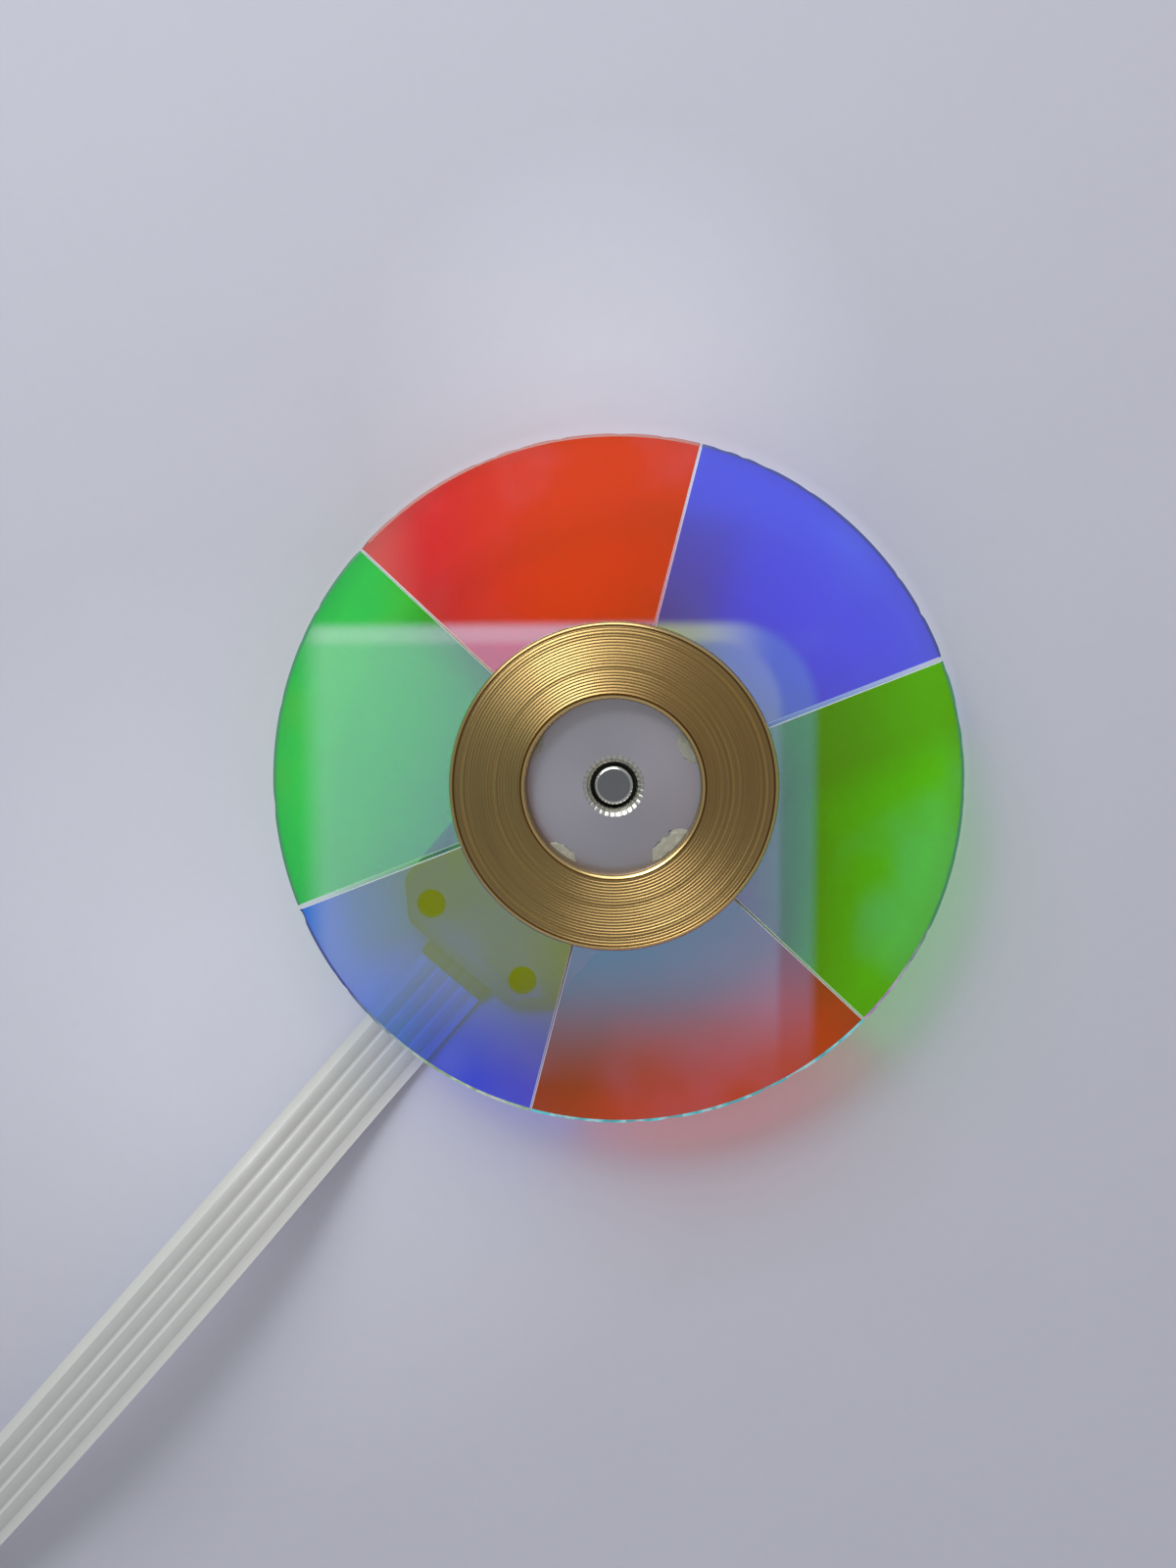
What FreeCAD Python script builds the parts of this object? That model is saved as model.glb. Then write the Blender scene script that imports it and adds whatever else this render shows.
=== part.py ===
"""Projector colour wheel: six filter glasses on the hub of a small brushless motor.

Millimetres, +Z up. The origin is on the motor axis, at the underside of the base plate.
The flat cable leaves the ear of the plate towards -Y.
"""

import math
import os

import FreeCAD
import Part
from FreeCAD import Vector

# Glass disc: the colours red, green and blue follow one another twice round the disc
DISC_RADIUS = 26.0
GLASS_THICKNESS = 1.1
GLASS_BORE_CLEARANCE = 0.15
FIRST_JOINT_ANGLE = 116.0
RED_ANGLE = 61.3
GREEN_ANGLE = 64.4
GLASS_SETS = 2

# Width of the gap before each glass, in the order of the glasses
JOINT_GAPS = [0.15, 0.15, 0.32, 0.12, 0.15, 0.32]

# Brass ring that clamps the glass and is ground to balance the rotor
RING_BORE_RADIUS = 6.5
RING_HEIGHT = 1.9
RING_CHAMFER = 0.25

# Hub, with the countersunk hole that the shaft ends in
FLANGE_THICKNESS = 1.1
FLANGE_SETBACK = 0.2
BOSS_RADIUS = 8.25
NECK_RADIUS = 4.0
NECK_BELOW_CUP_TOP = 0.2
COUNTERSINK_RADIUS = 2.3
COUNTERSINK_DEPTH = 0.55
SHAFT_RECESS_CLEARANCE = 0.22
SHAFT_RECESS_DEPTH = 0.35
SHAFT_TOP_BELOW_HUB = 0.4

# Dabs of glue on the hub face: angle, length along the ring's bore, reach towards the centre
GLUE_DABS = [(67.5, 2.7, 0.88), (192.9, 2.2, 0.36), (273.5, 2.5, 0.57), (353.5, 3.65, 1.04)]
GLUE_HEIGHT = 0.3
GLUE_SLOPE = 0.2

# Rotor cup and its ring magnet
CUP_RADIUS = 12.4
CUP_WALL = 0.9
CUP_TOP = 1.0
CUP_HEIGHT = 5.1
CUP_CORNER_CUT = 0.4
ROTOR_GAP = 0.6
MAGNET_WALL = 1.6
MAGNET_HEIGHT = 3.8
AIR_GAP = 0.3

# Dark strip on the cup that a light sensor reads once a turn
TIMING_MARK_SPAN = 22.0
TIMING_MARK_HEIGHT = 2.6
TIMING_MARK_THICKNESS = 0.1
TIMING_MARK_BELOW_CUP_TOP = 1.4

# Shaft, sleeve bearing and thrust bearing
SHAFT_RADIUS = 1.5
SHAFT_CHAMFER = 0.15
SHAFT_TIP_RADIUS = 0.7
SHAFT_TIP_HEIGHT = 0.3
BEARING_CLEARANCE = 0.03
SLEEVE_WALL = 1.22
SLEEVE_RECESS = 0.1
HOLDER_WALL = 0.75
HOLDER_TOP_CLEARANCE = 0.3
THRUST_CAP_THICKNESS = 0.3
THRUST_PAD_THICKNESS = 0.3
THRUST_PAD_RADIUS = 2.2
THRUST_CLEARANCE = 0.05
WASHER_THICKNESS = 0.2
WASHER_WALL = 1.1
WASHER_SLIT = 0.5
WASHER_CLEARANCE = 0.05
GROOVE_DEPTH = 0.3
GROOVE_ABOVE_TIP = 0.35

# Base plate with the ear that carries the screw holes
PLATE_THICKNESS = 1.5
PLATE_MARGIN = 0.4
EAR_WIDTH = 16.0
EAR_REACH = 20.15
EAR_CORNER_CUT = 2.6
EAR_CORNER_RADIUS = 1.2
EAR_ROOT_RADIUS = 2.0
SCREW_HOLE_RADIUS = 1.17
SCREW_HOLE_SPACING = 9.85
SCREW_HOLE_SETBACK = 2.4
HOLDER_RIM_RADIUS = 4.3
HOLDER_RIM_THICKNESS = 0.6
HOLDER_RIM_RECESS = 0.3
HOLDER_SHOULDER_WALL = 0.9
HOLDER_SHOULDER_HEIGHT = 1.25

# Stator: nine teeth, each with an insulated coil
TOOTH_COUNT = 9
PHASE_COUNT = 3
TOOTH_WIDTH = 1.8
YOKE_WALL = 1.5
SHOE_WALL = 1.0
SLOT_OPENING = 1.2
CORE_HEIGHT = 1.8
INSULATOR_THICKNESS = 0.25
INSULATOR_OVERHANG = 0.15
INSULATOR_WALL = 0.3
INSULATOR_WALL_HEIGHT = 0.5
COIL_SIDE_DEPTH = 0.75
COIL_END_DEPTH = 0.65
COIL_CORNER_CUT = 0.35
COIL_END_GAP = 0.1

# Wires from the coils, soldered to the flexible circuit inside the slot in the plate
LEAD_COUNT = 4
LEAD_PITCH = 1.0
LEAD_RADIUS = 0.12
LEAD_REACH = 7.4
LEAD_SLOT_WIDTH = 1.8
LEAD_SLOT_MARGIN = 0.9
SOLDER_RADIUS = 0.42
SOLDER_TIP_RADIUS = 0.2
SOLDER_HEIGHT = 0.25

# Flexible circuit in its pocket, with the tongue that the flat cable is soldered to
FLEX_THICKNESS = 0.18
FLEX_WIDTH = 5.6
FLEX_INNER_REACH = 6.1
TONGUE_WIDTH = 6.6
TONGUE_LENGTH = 1.55
TONGUE_SHIFT = 0.25
TONGUE_CORNER_RADIUS = 0.4
POCKET_DEPTH = 0.6
POCKET_CLEARANCE = 0.2

# Flat cable: four conductors, and a stiffened end for a connector
CONDUCTOR_COUNT = 4
CONDUCTOR_PITCH = 1.25
CONDUCTOR_WIDTH = 0.95
RIBBON_THICKNESS = 0.25
RIBBON_START_GAP = 0.15
RIBBON_HEADING = -90.95
STIFFENER_LENGTH = 4.5
STIFFENER_THICKNESS = 0.2
CONTACT_LENGTH = 4.0
CONTACT_THICKNESS = 0.06

# Route of the flat cable: distance out from its soldered end, and height of its middle.
# It springs up off the table, and its far end comes back down to it.
RIBBON_ROUTE = [
    (0.0, 0.295),
    (8.2, 0.295),
    (17.7, 2.1),
    (28.7, 7.0),
    (40.7, 8.9),
    (53.7, 8.4),
    (66.7, 5.9),
    (78.7, 2.2),
    (89.7, 0.75),
    (98.2, 0.32),
]
ARC_SHARE = 0.45

# Heights that follow from the sizes above
CUP_RIM_Z = PLATE_THICKNESS + ROTOR_GAP
CUP_TOP_Z = CUP_RIM_Z + CUP_HEIGHT
CUP_CEILING_Z = CUP_TOP_Z - CUP_TOP
GLASS_SEAT_Z = CUP_TOP_Z + FLANGE_THICKNESS
HUB_FACE_Z = GLASS_SEAT_Z + GLASS_THICKNESS
NECK_BOTTOM_Z = CUP_CEILING_Z - NECK_BELOW_CUP_TOP
SHAFT_TOP_Z = HUB_FACE_Z - SHAFT_TOP_BELOW_HUB
HOLDER_TOP_Z = NECK_BOTTOM_Z - HOLDER_TOP_CLEARANCE
THRUST_PAD_Z = HOLDER_RIM_RECESS + THRUST_CAP_THICKNESS
SHAFT_TIP_Z = THRUST_PAD_Z + THRUST_PAD_THICKNESS + THRUST_CLEARANCE
GROOVE_Z = SHAFT_TIP_Z + GROOVE_ABOVE_TIP
GROOVE_HEIGHT = WASHER_THICKNESS + 2 * WASHER_CLEARANCE
SLEEVE_BOTTOM_Z = GROOVE_Z + GROOVE_HEIGHT + WASHER_CLEARANCE
SLEEVE_TOP_Z = HOLDER_TOP_Z - SLEEVE_RECESS
SHOULDER_TOP_Z = PLATE_THICKNESS + HOLDER_SHOULDER_HEIGHT
CORE_Z = SHOULDER_TOP_Z + INSULATOR_THICKNESS
CORE_TOP_Z = CORE_Z + CORE_HEIGHT
CORE_MIDDLE_Z = CORE_Z + CORE_HEIGHT / 2
COIL_BOTTOM_Z = CORE_Z - INSULATOR_THICKNESS - COIL_END_DEPTH
FLEX_Z = POCKET_DEPTH - FLEX_THICKNESS

# Radii and lengths that follow from the sizes above
GLASS_BORE_RADIUS = BOSS_RADIUS + GLASS_BORE_CLEARANCE
RING_RADIUS = CUP_RADIUS - FLANGE_SETBACK
PLATE_RADIUS = CUP_RADIUS + PLATE_MARGIN
CUP_BORE_RADIUS = CUP_RADIUS - CUP_WALL
MAGNET_BORE_RADIUS = CUP_BORE_RADIUS - MAGNET_WALL
STATOR_RADIUS = MAGNET_BORE_RADIUS - AIR_GAP
SHOE_RADIUS = STATOR_RADIUS - SHOE_WALL
SLEEVE_RADIUS = SHAFT_RADIUS + BEARING_CLEARANCE + SLEEVE_WALL
HOLDER_RADIUS = SLEEVE_RADIUS + HOLDER_WALL
SHOULDER_RADIUS = HOLDER_RADIUS + HOLDER_SHOULDER_WALL
YOKE_RADIUS = HOLDER_RADIUS + YOKE_WALL
GROOVE_RADIUS = SHAFT_RADIUS - GROOVE_DEPTH
SCREW_HOLE_REACH = EAR_REACH - SCREW_HOLE_SETBACK
TONGUE_REACH = EAR_REACH + TONGUE_LENGTH
RIBBON_WIDTH = (CONDUCTOR_COUNT + 1) * CONDUCTOR_PITCH
BLUE_ANGLE = 360.0 / GLASS_SETS - RED_ANGLE - GREEN_ANGLE
TOOTH_STEP = 360.0 / TOOTH_COUNT
FIRST_TOOTH_ANGLE = -90.0

UP = Vector(0, 0, 1)
AXIS = Vector(0, 0, 0)


def polar(radius, degrees, z=0.0):
    """Point at a radius and an angle round the motor axis."""
    angle = math.radians(degrees)
    return Vector(radius * math.cos(angle), radius * math.sin(angle), z)


def disc(radius, bottom, top):
    """Solid cylinder on the motor axis."""
    return Part.makeCylinder(radius, top - bottom, Vector(0, 0, bottom))


def tube(inner_radius, outer_radius, bottom, top):
    """Hollow cylinder on the motor axis."""
    return disc(outer_radius, bottom, top).cut(disc(inner_radius, bottom, top))


def turned(profile):
    """Solid of revolution round the motor axis, from (radius, height) corners."""
    corners = [Vector(radius, 0, z) for radius, z in profile]
    outline = Part.makePolygon(corners + corners[:1])
    return Part.Face(outline).revolve(AXIS, UP, 360)


def circle_edges(shape, radius, z):
    """The full circles of a turned solid that have this radius and height."""
    found = []
    for edge in shape.Edges:
        curve = edge.Curve
        if isinstance(curve, Part.Circle) and abs(curve.Radius - radius) < 1e-6:
            if abs(curve.Center.z - z) < 1e-6:
                found.append(edge)
    return found


def upright_edges(shape, places):
    """The edges parallel to Z that stand at the given (x, y) places."""
    found = []
    for edge in shape.Edges:
        first = edge.Vertexes[0].Point
        last = edge.Vertexes[-1].Point
        upright = abs(first.z - last.z) > 1e-6 and (first - last).cross(UP).Length < 1e-6
        if upright and any(math.hypot(first.x - x, first.y - y) < 1e-3 for x, y in places):
            found.append(edge)
    return found


def turn_about_axis(shape, degrees):
    """Copy of a shape, turned about the motor axis."""
    return shape.rotated(AXIS, UP, degrees)


def one_solid(shape):
    """The single solid that a boolean operation made, with its split faces joined."""
    cleaned = shape.removeSplitter()
    assert len(cleaned.Solids) == 1, "expected one solid"
    return cleaned.Solids[0]


def glass_joint_angles():
    """Name of each glass, and the angles of the joints before and after it."""
    angle = FIRST_JOINT_ANGLE
    joints = []
    for turn in range(1, GLASS_SETS + 1):
        for colour, span in (("red", RED_ANGLE), ("green", GREEN_ANGLE), ("blue", BLUE_ANGLE)):
            joints.append((f"{colour}_filter_{turn}", angle, angle + span))
            angle += span
    return joints


def filter_glass(start, end, first_gap, last_gap):
    """One annular sector of glass, whose straight sides lie half a gap inside its joints."""

    def joint_point(radius, joint, inset):
        return polar(radius, joint + math.degrees(math.asin(inset / radius)), GLASS_SEAT_Z)

    middle = (start + end) / 2
    outer_start = joint_point(DISC_RADIUS, start, first_gap / 2)
    outer_end = joint_point(DISC_RADIUS, end, -last_gap / 2)
    inner_start = joint_point(GLASS_BORE_RADIUS, start, first_gap / 2)
    inner_end = joint_point(GLASS_BORE_RADIUS, end, -last_gap / 2)
    outline = Part.Wire([
        Part.Arc(outer_start, polar(DISC_RADIUS, middle, GLASS_SEAT_Z), outer_end).toShape(),
        Part.LineSegment(outer_end, inner_end).toShape(),
        Part.Arc(inner_end, polar(GLASS_BORE_RADIUS, middle, GLASS_SEAT_Z), inner_start).toShape(),
        Part.LineSegment(inner_start, outer_start).toShape(),
    ])
    return Part.Face(outline).extrude(UP * GLASS_THICKNESS)


def filter_glasses():
    """All the glasses by name."""
    glasses = {}
    for index, (name, start, end) in enumerate(glass_joint_angles()):
        next_index = (index + 1) % len(JOINT_GAPS)
        glasses[name] = filter_glass(start, end, JOINT_GAPS[index], JOINT_GAPS[next_index])
    return glasses


def balance_ring():
    """Turned ring with its four rims chamfered."""
    top = HUB_FACE_Z + RING_HEIGHT
    ring = tube(RING_BORE_RADIUS, RING_RADIUS, HUB_FACE_Z, top)
    rims = circle_edges(ring, RING_RADIUS, top) + circle_edges(ring, RING_BORE_RADIUS, top)
    return ring.makeChamfer(RING_CHAMFER, rims)


def hub():
    """Turned hub: neck in the cup, flange under the glass, boss inside it, hole for the shaft."""
    recess_radius = SHAFT_RADIUS + SHAFT_RECESS_CLEARANCE
    recess_top = HUB_FACE_Z - COUNTERSINK_DEPTH
    recess_bottom = recess_top - SHAFT_RECESS_DEPTH
    return turned([
        (SHAFT_RADIUS, NECK_BOTTOM_Z),
        (NECK_RADIUS, NECK_BOTTOM_Z),
        (NECK_RADIUS, CUP_TOP_Z),
        (RING_RADIUS, CUP_TOP_Z),
        (RING_RADIUS, GLASS_SEAT_Z),
        (BOSS_RADIUS, GLASS_SEAT_Z),
        (BOSS_RADIUS, HUB_FACE_Z),
        (COUNTERSINK_RADIUS, HUB_FACE_Z),
        (recess_radius, recess_top),
        (recess_radius, recess_bottom),
        (SHAFT_RADIUS, recess_bottom),
    ])


def glue_dab(angle, length, reach):
    """One dab, whose round edge meets the ring's bore at both ends of its length."""
    half = length / 2
    bore_depth = RING_BORE_RADIUS - math.sqrt(RING_BORE_RADIUS ** 2 - half ** 2)
    depth = reach - bore_depth
    radius = (half ** 2 + depth ** 2) / (2 * depth)
    centre = polar(RING_BORE_RADIUS - reach + radius, angle, HUB_FACE_Z)
    mound = Part.makeCone(radius, radius - GLUE_SLOPE, GLUE_HEIGHT, centre)
    return one_solid(mound.common(disc(RING_BORE_RADIUS, HUB_FACE_Z, HUB_FACE_Z + GLUE_HEIGHT)))


def glue_dabs():
    """Low dabs of glue in the corner between the hub face and the bore of the ring."""
    return Part.makeCompound([glue_dab(*dab) for dab in GLUE_DABS])


def rotor_cup():
    """Drawn steel cup, its top corner broken, with a hole for the neck of the hub."""
    cup = turned([
        (NECK_RADIUS, CUP_CEILING_Z),
        (CUP_BORE_RADIUS, CUP_CEILING_Z),
        (CUP_BORE_RADIUS, CUP_RIM_Z),
        (CUP_RADIUS, CUP_RIM_Z),
        (CUP_RADIUS, CUP_TOP_Z),
        (NECK_RADIUS, CUP_TOP_Z),
    ])
    return cup.makeChamfer(CUP_CORNER_CUT, circle_edges(cup, CUP_RADIUS, CUP_TOP_Z))


def rotor_magnet():
    """Ring magnet, held against the ceiling of the cup."""
    return tube(MAGNET_BORE_RADIUS, CUP_BORE_RADIUS, CUP_CEILING_Z - MAGNET_HEIGHT, CUP_CEILING_Z)


def timing_mark():
    """Strip wrapped round part of the cup, centred on the first joint of the glass."""
    top = CUP_TOP_Z - TIMING_MARK_BELOW_CUP_TOP
    bottom = top - TIMING_MARK_HEIGHT
    outer_radius = CUP_RADIUS + TIMING_MARK_THICKNESS
    sector = Part.makeCylinder(outer_radius, top - bottom, Vector(0, 0, bottom), UP, TIMING_MARK_SPAN)
    strip = sector.cut(disc(CUP_RADIUS, bottom, top))
    return turn_about_axis(strip, FIRST_JOINT_ANGLE - TIMING_MARK_SPAN / 2)


def shaft():
    """Shaft with a blunt tip on the thrust pad, a groove for the washer and a chamfered top."""
    groove_top = GROOVE_Z + GROOVE_HEIGHT
    return turned([
        (0, SHAFT_TIP_Z),
        (SHAFT_TIP_RADIUS, SHAFT_TIP_Z),
        (SHAFT_RADIUS, SHAFT_TIP_Z + SHAFT_TIP_HEIGHT),
        (SHAFT_RADIUS, GROOVE_Z),
        (GROOVE_RADIUS, GROOVE_Z),
        (GROOVE_RADIUS, groove_top),
        (SHAFT_RADIUS, groove_top),
        (SHAFT_RADIUS, SHAFT_TOP_Z - SHAFT_CHAMFER),
        (SHAFT_RADIUS - SHAFT_CHAMFER, SHAFT_TOP_Z),
        (0, SHAFT_TOP_Z),
    ])


def retaining_washer():
    """Slit washer that snaps into the groove and keeps the rotor from lifting off."""
    inner_radius = GROOVE_RADIUS + WASHER_CLEARANCE
    outer_radius = inner_radius + WASHER_WALL
    bottom = GROOVE_Z + WASHER_CLEARANCE
    washer = tube(inner_radius, outer_radius, bottom, bottom + WASHER_THICKNESS)
    slit = Part.makeBox(outer_radius, WASHER_SLIT, WASHER_THICKNESS, Vector(0, -WASHER_SLIT / 2, bottom))
    return one_solid(washer.cut(slit))


def ear_outline():
    """Outline of the ear, with its two outer corners cut off."""
    half = EAR_WIDTH / 2
    end = -EAR_REACH
    cut = EAR_CORNER_CUT
    left = [(-half, 0), (-half, end + cut), (-half + cut, end)]
    right = [(-x, y) for x, y in reversed(left)]
    return [Vector(x, y, 0) for x, y in left + right]


def pocket():
    """Space under the plate for the flexible circuit, open at the end of the ear."""
    half = FLEX_WIDTH / 2 + POCKET_CLEARANCE
    inner_end = -FLEX_INNER_REACH + POCKET_CLEARANCE
    corner = Vector(-half, -EAR_REACH, 0)
    return Part.makeBox(2 * half, EAR_REACH + inner_end, POCKET_DEPTH, corner)


def lead_slot():
    """Slot through the plate for the coil wires."""
    length = (LEAD_COUNT - 1) * LEAD_PITCH + 2 * LEAD_SLOT_MARGIN
    corner = Vector(-length / 2, -LEAD_REACH - LEAD_SLOT_WIDTH / 2, 0)
    return Part.makeBox(length, LEAD_SLOT_WIDTH, PLATE_THICKNESS, corner)


def screw_hole(x):
    """Clearance hole in the ear."""
    return Part.makeCylinder(SCREW_HOLE_RADIUS, PLATE_THICKNESS, Vector(x, -SCREW_HOLE_REACH, 0))


def base_plate():
    """Stamped plate: round under the rotor, with an ear for the screws and the cable."""
    corners = ear_outline()
    ear = Part.Face(Part.makePolygon(corners + corners[:1])).extrude(UP * PLATE_THICKNESS)
    plate = one_solid(disc(PLATE_RADIUS, 0, PLATE_THICKNESS).fuse(ear))
    half = EAR_WIDTH / 2
    root_y = -math.sqrt(PLATE_RADIUS ** 2 - half ** 2)
    plate = plate.makeFillet(EAR_ROOT_RADIUS, upright_edges(plate, [(-half, root_y), (half, root_y)]))
    outer_corners = [(corner.x, corner.y) for corner in corners[1:5]]
    plate = plate.makeFillet(EAR_CORNER_RADIUS, upright_edges(plate, outer_corners))
    plate = plate.cut(disc(HOLDER_RADIUS, 0, PLATE_THICKNESS))
    plate = plate.cut(disc(HOLDER_RIM_RADIUS, 0, HOLDER_RIM_RECESS + HOLDER_RIM_THICKNESS))
    for side in (-1, 1):
        plate = plate.cut(screw_hole(side * SCREW_HOLE_SPACING / 2))
    return one_solid(plate.cut(pocket()).cut(lead_slot()))


def bearing_holder():
    """Turned holder: its lower rim is swaged under the plate, and its shoulder carries the stator."""
    rim_top = HOLDER_RIM_RECESS + HOLDER_RIM_THICKNESS
    return turned([
        (SLEEVE_RADIUS, HOLDER_RIM_RECESS),
        (HOLDER_RIM_RADIUS, HOLDER_RIM_RECESS),
        (HOLDER_RIM_RADIUS, rim_top),
        (HOLDER_RADIUS, rim_top),
        (HOLDER_RADIUS, PLATE_THICKNESS),
        (SHOULDER_RADIUS, PLATE_THICKNESS),
        (SHOULDER_RADIUS, SHOULDER_TOP_Z),
        (HOLDER_RADIUS, SHOULDER_TOP_Z),
        (HOLDER_RADIUS, HOLDER_TOP_Z),
        (SLEEVE_RADIUS, HOLDER_TOP_Z),
    ])


def sleeve_bearing():
    """Sintered sleeve that the shaft turns in."""
    return tube(SHAFT_RADIUS + BEARING_CLEARANCE, SLEEVE_RADIUS, SLEEVE_BOTTOM_Z, SLEEVE_TOP_Z)


def thrust_pad():
    """Slippery disc under the tip of the shaft."""
    return disc(THRUST_PAD_RADIUS, THRUST_PAD_Z, THRUST_PAD_Z + THRUST_PAD_THICKNESS)


def thrust_cap():
    """Metal disc that closes the holder from below."""
    return disc(SLEEVE_RADIUS, HOLDER_RIM_RECESS, THRUST_PAD_Z)


def shoe_angle():
    """Angle that one tooth's shoe spans, which leaves the slot between the shoes."""
    return TOOTH_STEP - math.degrees(SLOT_OPENING / STATOR_RADIUS)


def tooth_angles():
    """Angles of the teeth round the motor axis."""
    return [FIRST_TOOTH_ANGLE + index * TOOTH_STEP for index in range(TOOTH_COUNT)]


def core_limb():
    """One tooth of the core with its shoe."""
    tooth_corner = Vector(HOLDER_RADIUS + YOKE_WALL / 2, -TOOTH_WIDTH / 2, CORE_Z)
    tooth_length = SHOE_RADIUS + SHOE_WALL / 2 - tooth_corner.x
    tooth = Part.makeBox(tooth_length, TOOTH_WIDTH, CORE_HEIGHT, tooth_corner)
    shoe = Part.makeCylinder(STATOR_RADIUS, CORE_HEIGHT, Vector(0, 0, CORE_Z), UP, shoe_angle())
    shoe = turn_about_axis(shoe.cut(disc(SHOE_RADIUS, CORE_Z, CORE_TOP_Z)), -shoe_angle() / 2)
    return tooth.fuse(shoe)


def stator_core():
    """Stack of steel sheets, pressed over the bearing holder."""
    limb = core_limb()
    limbs = [turn_about_axis(limb, angle) for angle in tooth_angles()]
    return one_solid(tube(HOLDER_RADIUS, YOKE_RADIUS, CORE_Z, CORE_TOP_Z).multiFuse(limbs))


def insulator_limb():
    """Cover of one tooth, with a wall across its end that keeps the coil on it."""
    start = YOKE_RADIUS - INSULATOR_WALL
    width = TOOTH_WIDTH + 2 * INSULATOR_OVERHANG
    wall_width = 2 * SHOE_RADIUS * math.sin(math.radians(shoe_angle() / 2))
    wall_height = INSULATOR_THICKNESS + INSULATOR_WALL_HEIGHT
    cover_corner = Vector(start, -width / 2, CORE_TOP_Z)
    cover = Part.makeBox(SHOE_RADIUS - start, width, INSULATOR_THICKNESS, cover_corner)
    wall_corner = Vector(SHOE_RADIUS, -wall_width / 2, CORE_TOP_Z)
    wall = Part.makeBox(INSULATOR_WALL, wall_width, wall_height, wall_corner)
    return cover.fuse(wall)


def upper_insulator():
    """Plastic cover on top of the core, with a wall at each end of every coil."""
    top = CORE_TOP_Z + INSULATOR_THICKNESS
    collar = tube(HOLDER_RADIUS, YOKE_RADIUS, CORE_TOP_Z, top)
    inner_wall = tube(YOKE_RADIUS - INSULATOR_WALL, YOKE_RADIUS, CORE_TOP_Z, top + INSULATOR_WALL_HEIGHT)
    limb = insulator_limb()
    limbs = [turn_about_axis(limb, angle) for angle in tooth_angles()]
    return one_solid(collar.multiFuse([inner_wall] + limbs))


def lower_insulator():
    """The same cover, turned over for the underside of the core."""
    return upper_insulator().mirror(Vector(0, 0, CORE_MIDDLE_Z), UP)


def coil(angle):
    """Wound coil round one tooth, as a closed solid of its outer shape."""
    inner_width = TOOTH_WIDTH + 2 * INSULATOR_OVERHANG
    inner_height = CORE_HEIGHT + 2 * INSULATOR_THICKNESS
    outer_width = inner_width + 2 * COIL_SIDE_DEPTH
    outer_height = inner_height + 2 * COIL_END_DEPTH
    start = YOKE_RADIUS + COIL_END_GAP
    shoe_reach = math.sqrt(SHOE_RADIUS ** 2 - (outer_width / 2) ** 2)
    length = shoe_reach - COIL_END_GAP - start
    block_corner = Vector(start, -outer_width / 2, COIL_BOTTOM_Z)
    block = Part.makeBox(length, outer_width, outer_height, block_corner)
    along_tooth = [edge for edge in block.Edges if abs(edge.tangentAt(edge.FirstParameter).x) > 0.99]
    block = block.makeChamfer(COIL_CORNER_CUT, along_tooth)
    window_corner = Vector(start, -inner_width / 2, COIL_BOTTOM_Z + COIL_END_DEPTH)
    window = Part.makeBox(length, inner_width, inner_height, window_corner)
    return turn_about_axis(block.cut(window), angle)


def phase_coils(phase):
    """The coils of one phase, on every third tooth."""
    return Part.makeCompound([coil(angle) for angle in tooth_angles()[phase::PHASE_COUNT]])


def lead_places():
    """Places of the coil wires, in a row across the plate."""
    first = -(LEAD_COUNT - 1) * LEAD_PITCH / 2
    return [(first + index * LEAD_PITCH, -LEAD_REACH) for index in range(LEAD_COUNT)]


def twelve_sided(radius, x, y, z):
    """Closed outline of a thin round piece, drawn with twelve sides."""
    corners = [Vector(x, y, z) + polar(radius, angle) for angle in range(0, 360, 30)]
    return Part.makePolygon(corners + corners[:1])


def coil_leads():
    """Wires that drop from the coils into the slot."""
    bottom = POCKET_DEPTH + SOLDER_HEIGHT
    drop = UP * (COIL_BOTTOM_Z - bottom)
    return Part.makeCompound([
        Part.Face(twelve_sided(LEAD_RADIUS, x, y, bottom)).extrude(drop) for x, y in lead_places()
    ])


def solder_joint(x, y):
    """Cone of solder under the end of one wire, on the flexible circuit."""
    foot = twelve_sided(SOLDER_RADIUS, x, y, POCKET_DEPTH)
    tip = twelve_sided(SOLDER_TIP_RADIUS, x, y, POCKET_DEPTH + SOLDER_HEIGHT)
    return Part.makeLoft([foot, tip], True, True)


def solder_joints():
    """The joints of all the wires."""
    return Part.makeCompound([solder_joint(x, y) for x, y in lead_places()])


def flex_circuit():
    """Flexible circuit: a round inner end, a straight strip and a wider tongue past the ear."""
    half = FLEX_WIDTH / 2
    inner_centre = -FLEX_INNER_REACH - half
    strip_length = TONGUE_REACH + inner_centre
    strip = Part.makeBox(FLEX_WIDTH, strip_length, FLEX_THICKNESS, Vector(-half, -TONGUE_REACH, FLEX_Z))
    inner_end = Part.makeCylinder(half, FLEX_THICKNESS, Vector(0, inner_centre, FLEX_Z))
    tongue_left = TONGUE_SHIFT - TONGUE_WIDTH / 2
    tongue_corner = Vector(tongue_left, -TONGUE_REACH, FLEX_Z)
    tongue = Part.makeBox(TONGUE_WIDTH, TONGUE_LENGTH, FLEX_THICKNESS, tongue_corner)
    outer_corners = [(tongue_left, -TONGUE_REACH), (tongue_left + TONGUE_WIDTH, -TONGUE_REACH)]
    tongue = tongue.makeFillet(TONGUE_CORNER_RADIUS, upright_edges(tongue, outer_corners))
    return one_solid(strip.multiFuse([inner_end, tongue]))


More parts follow.
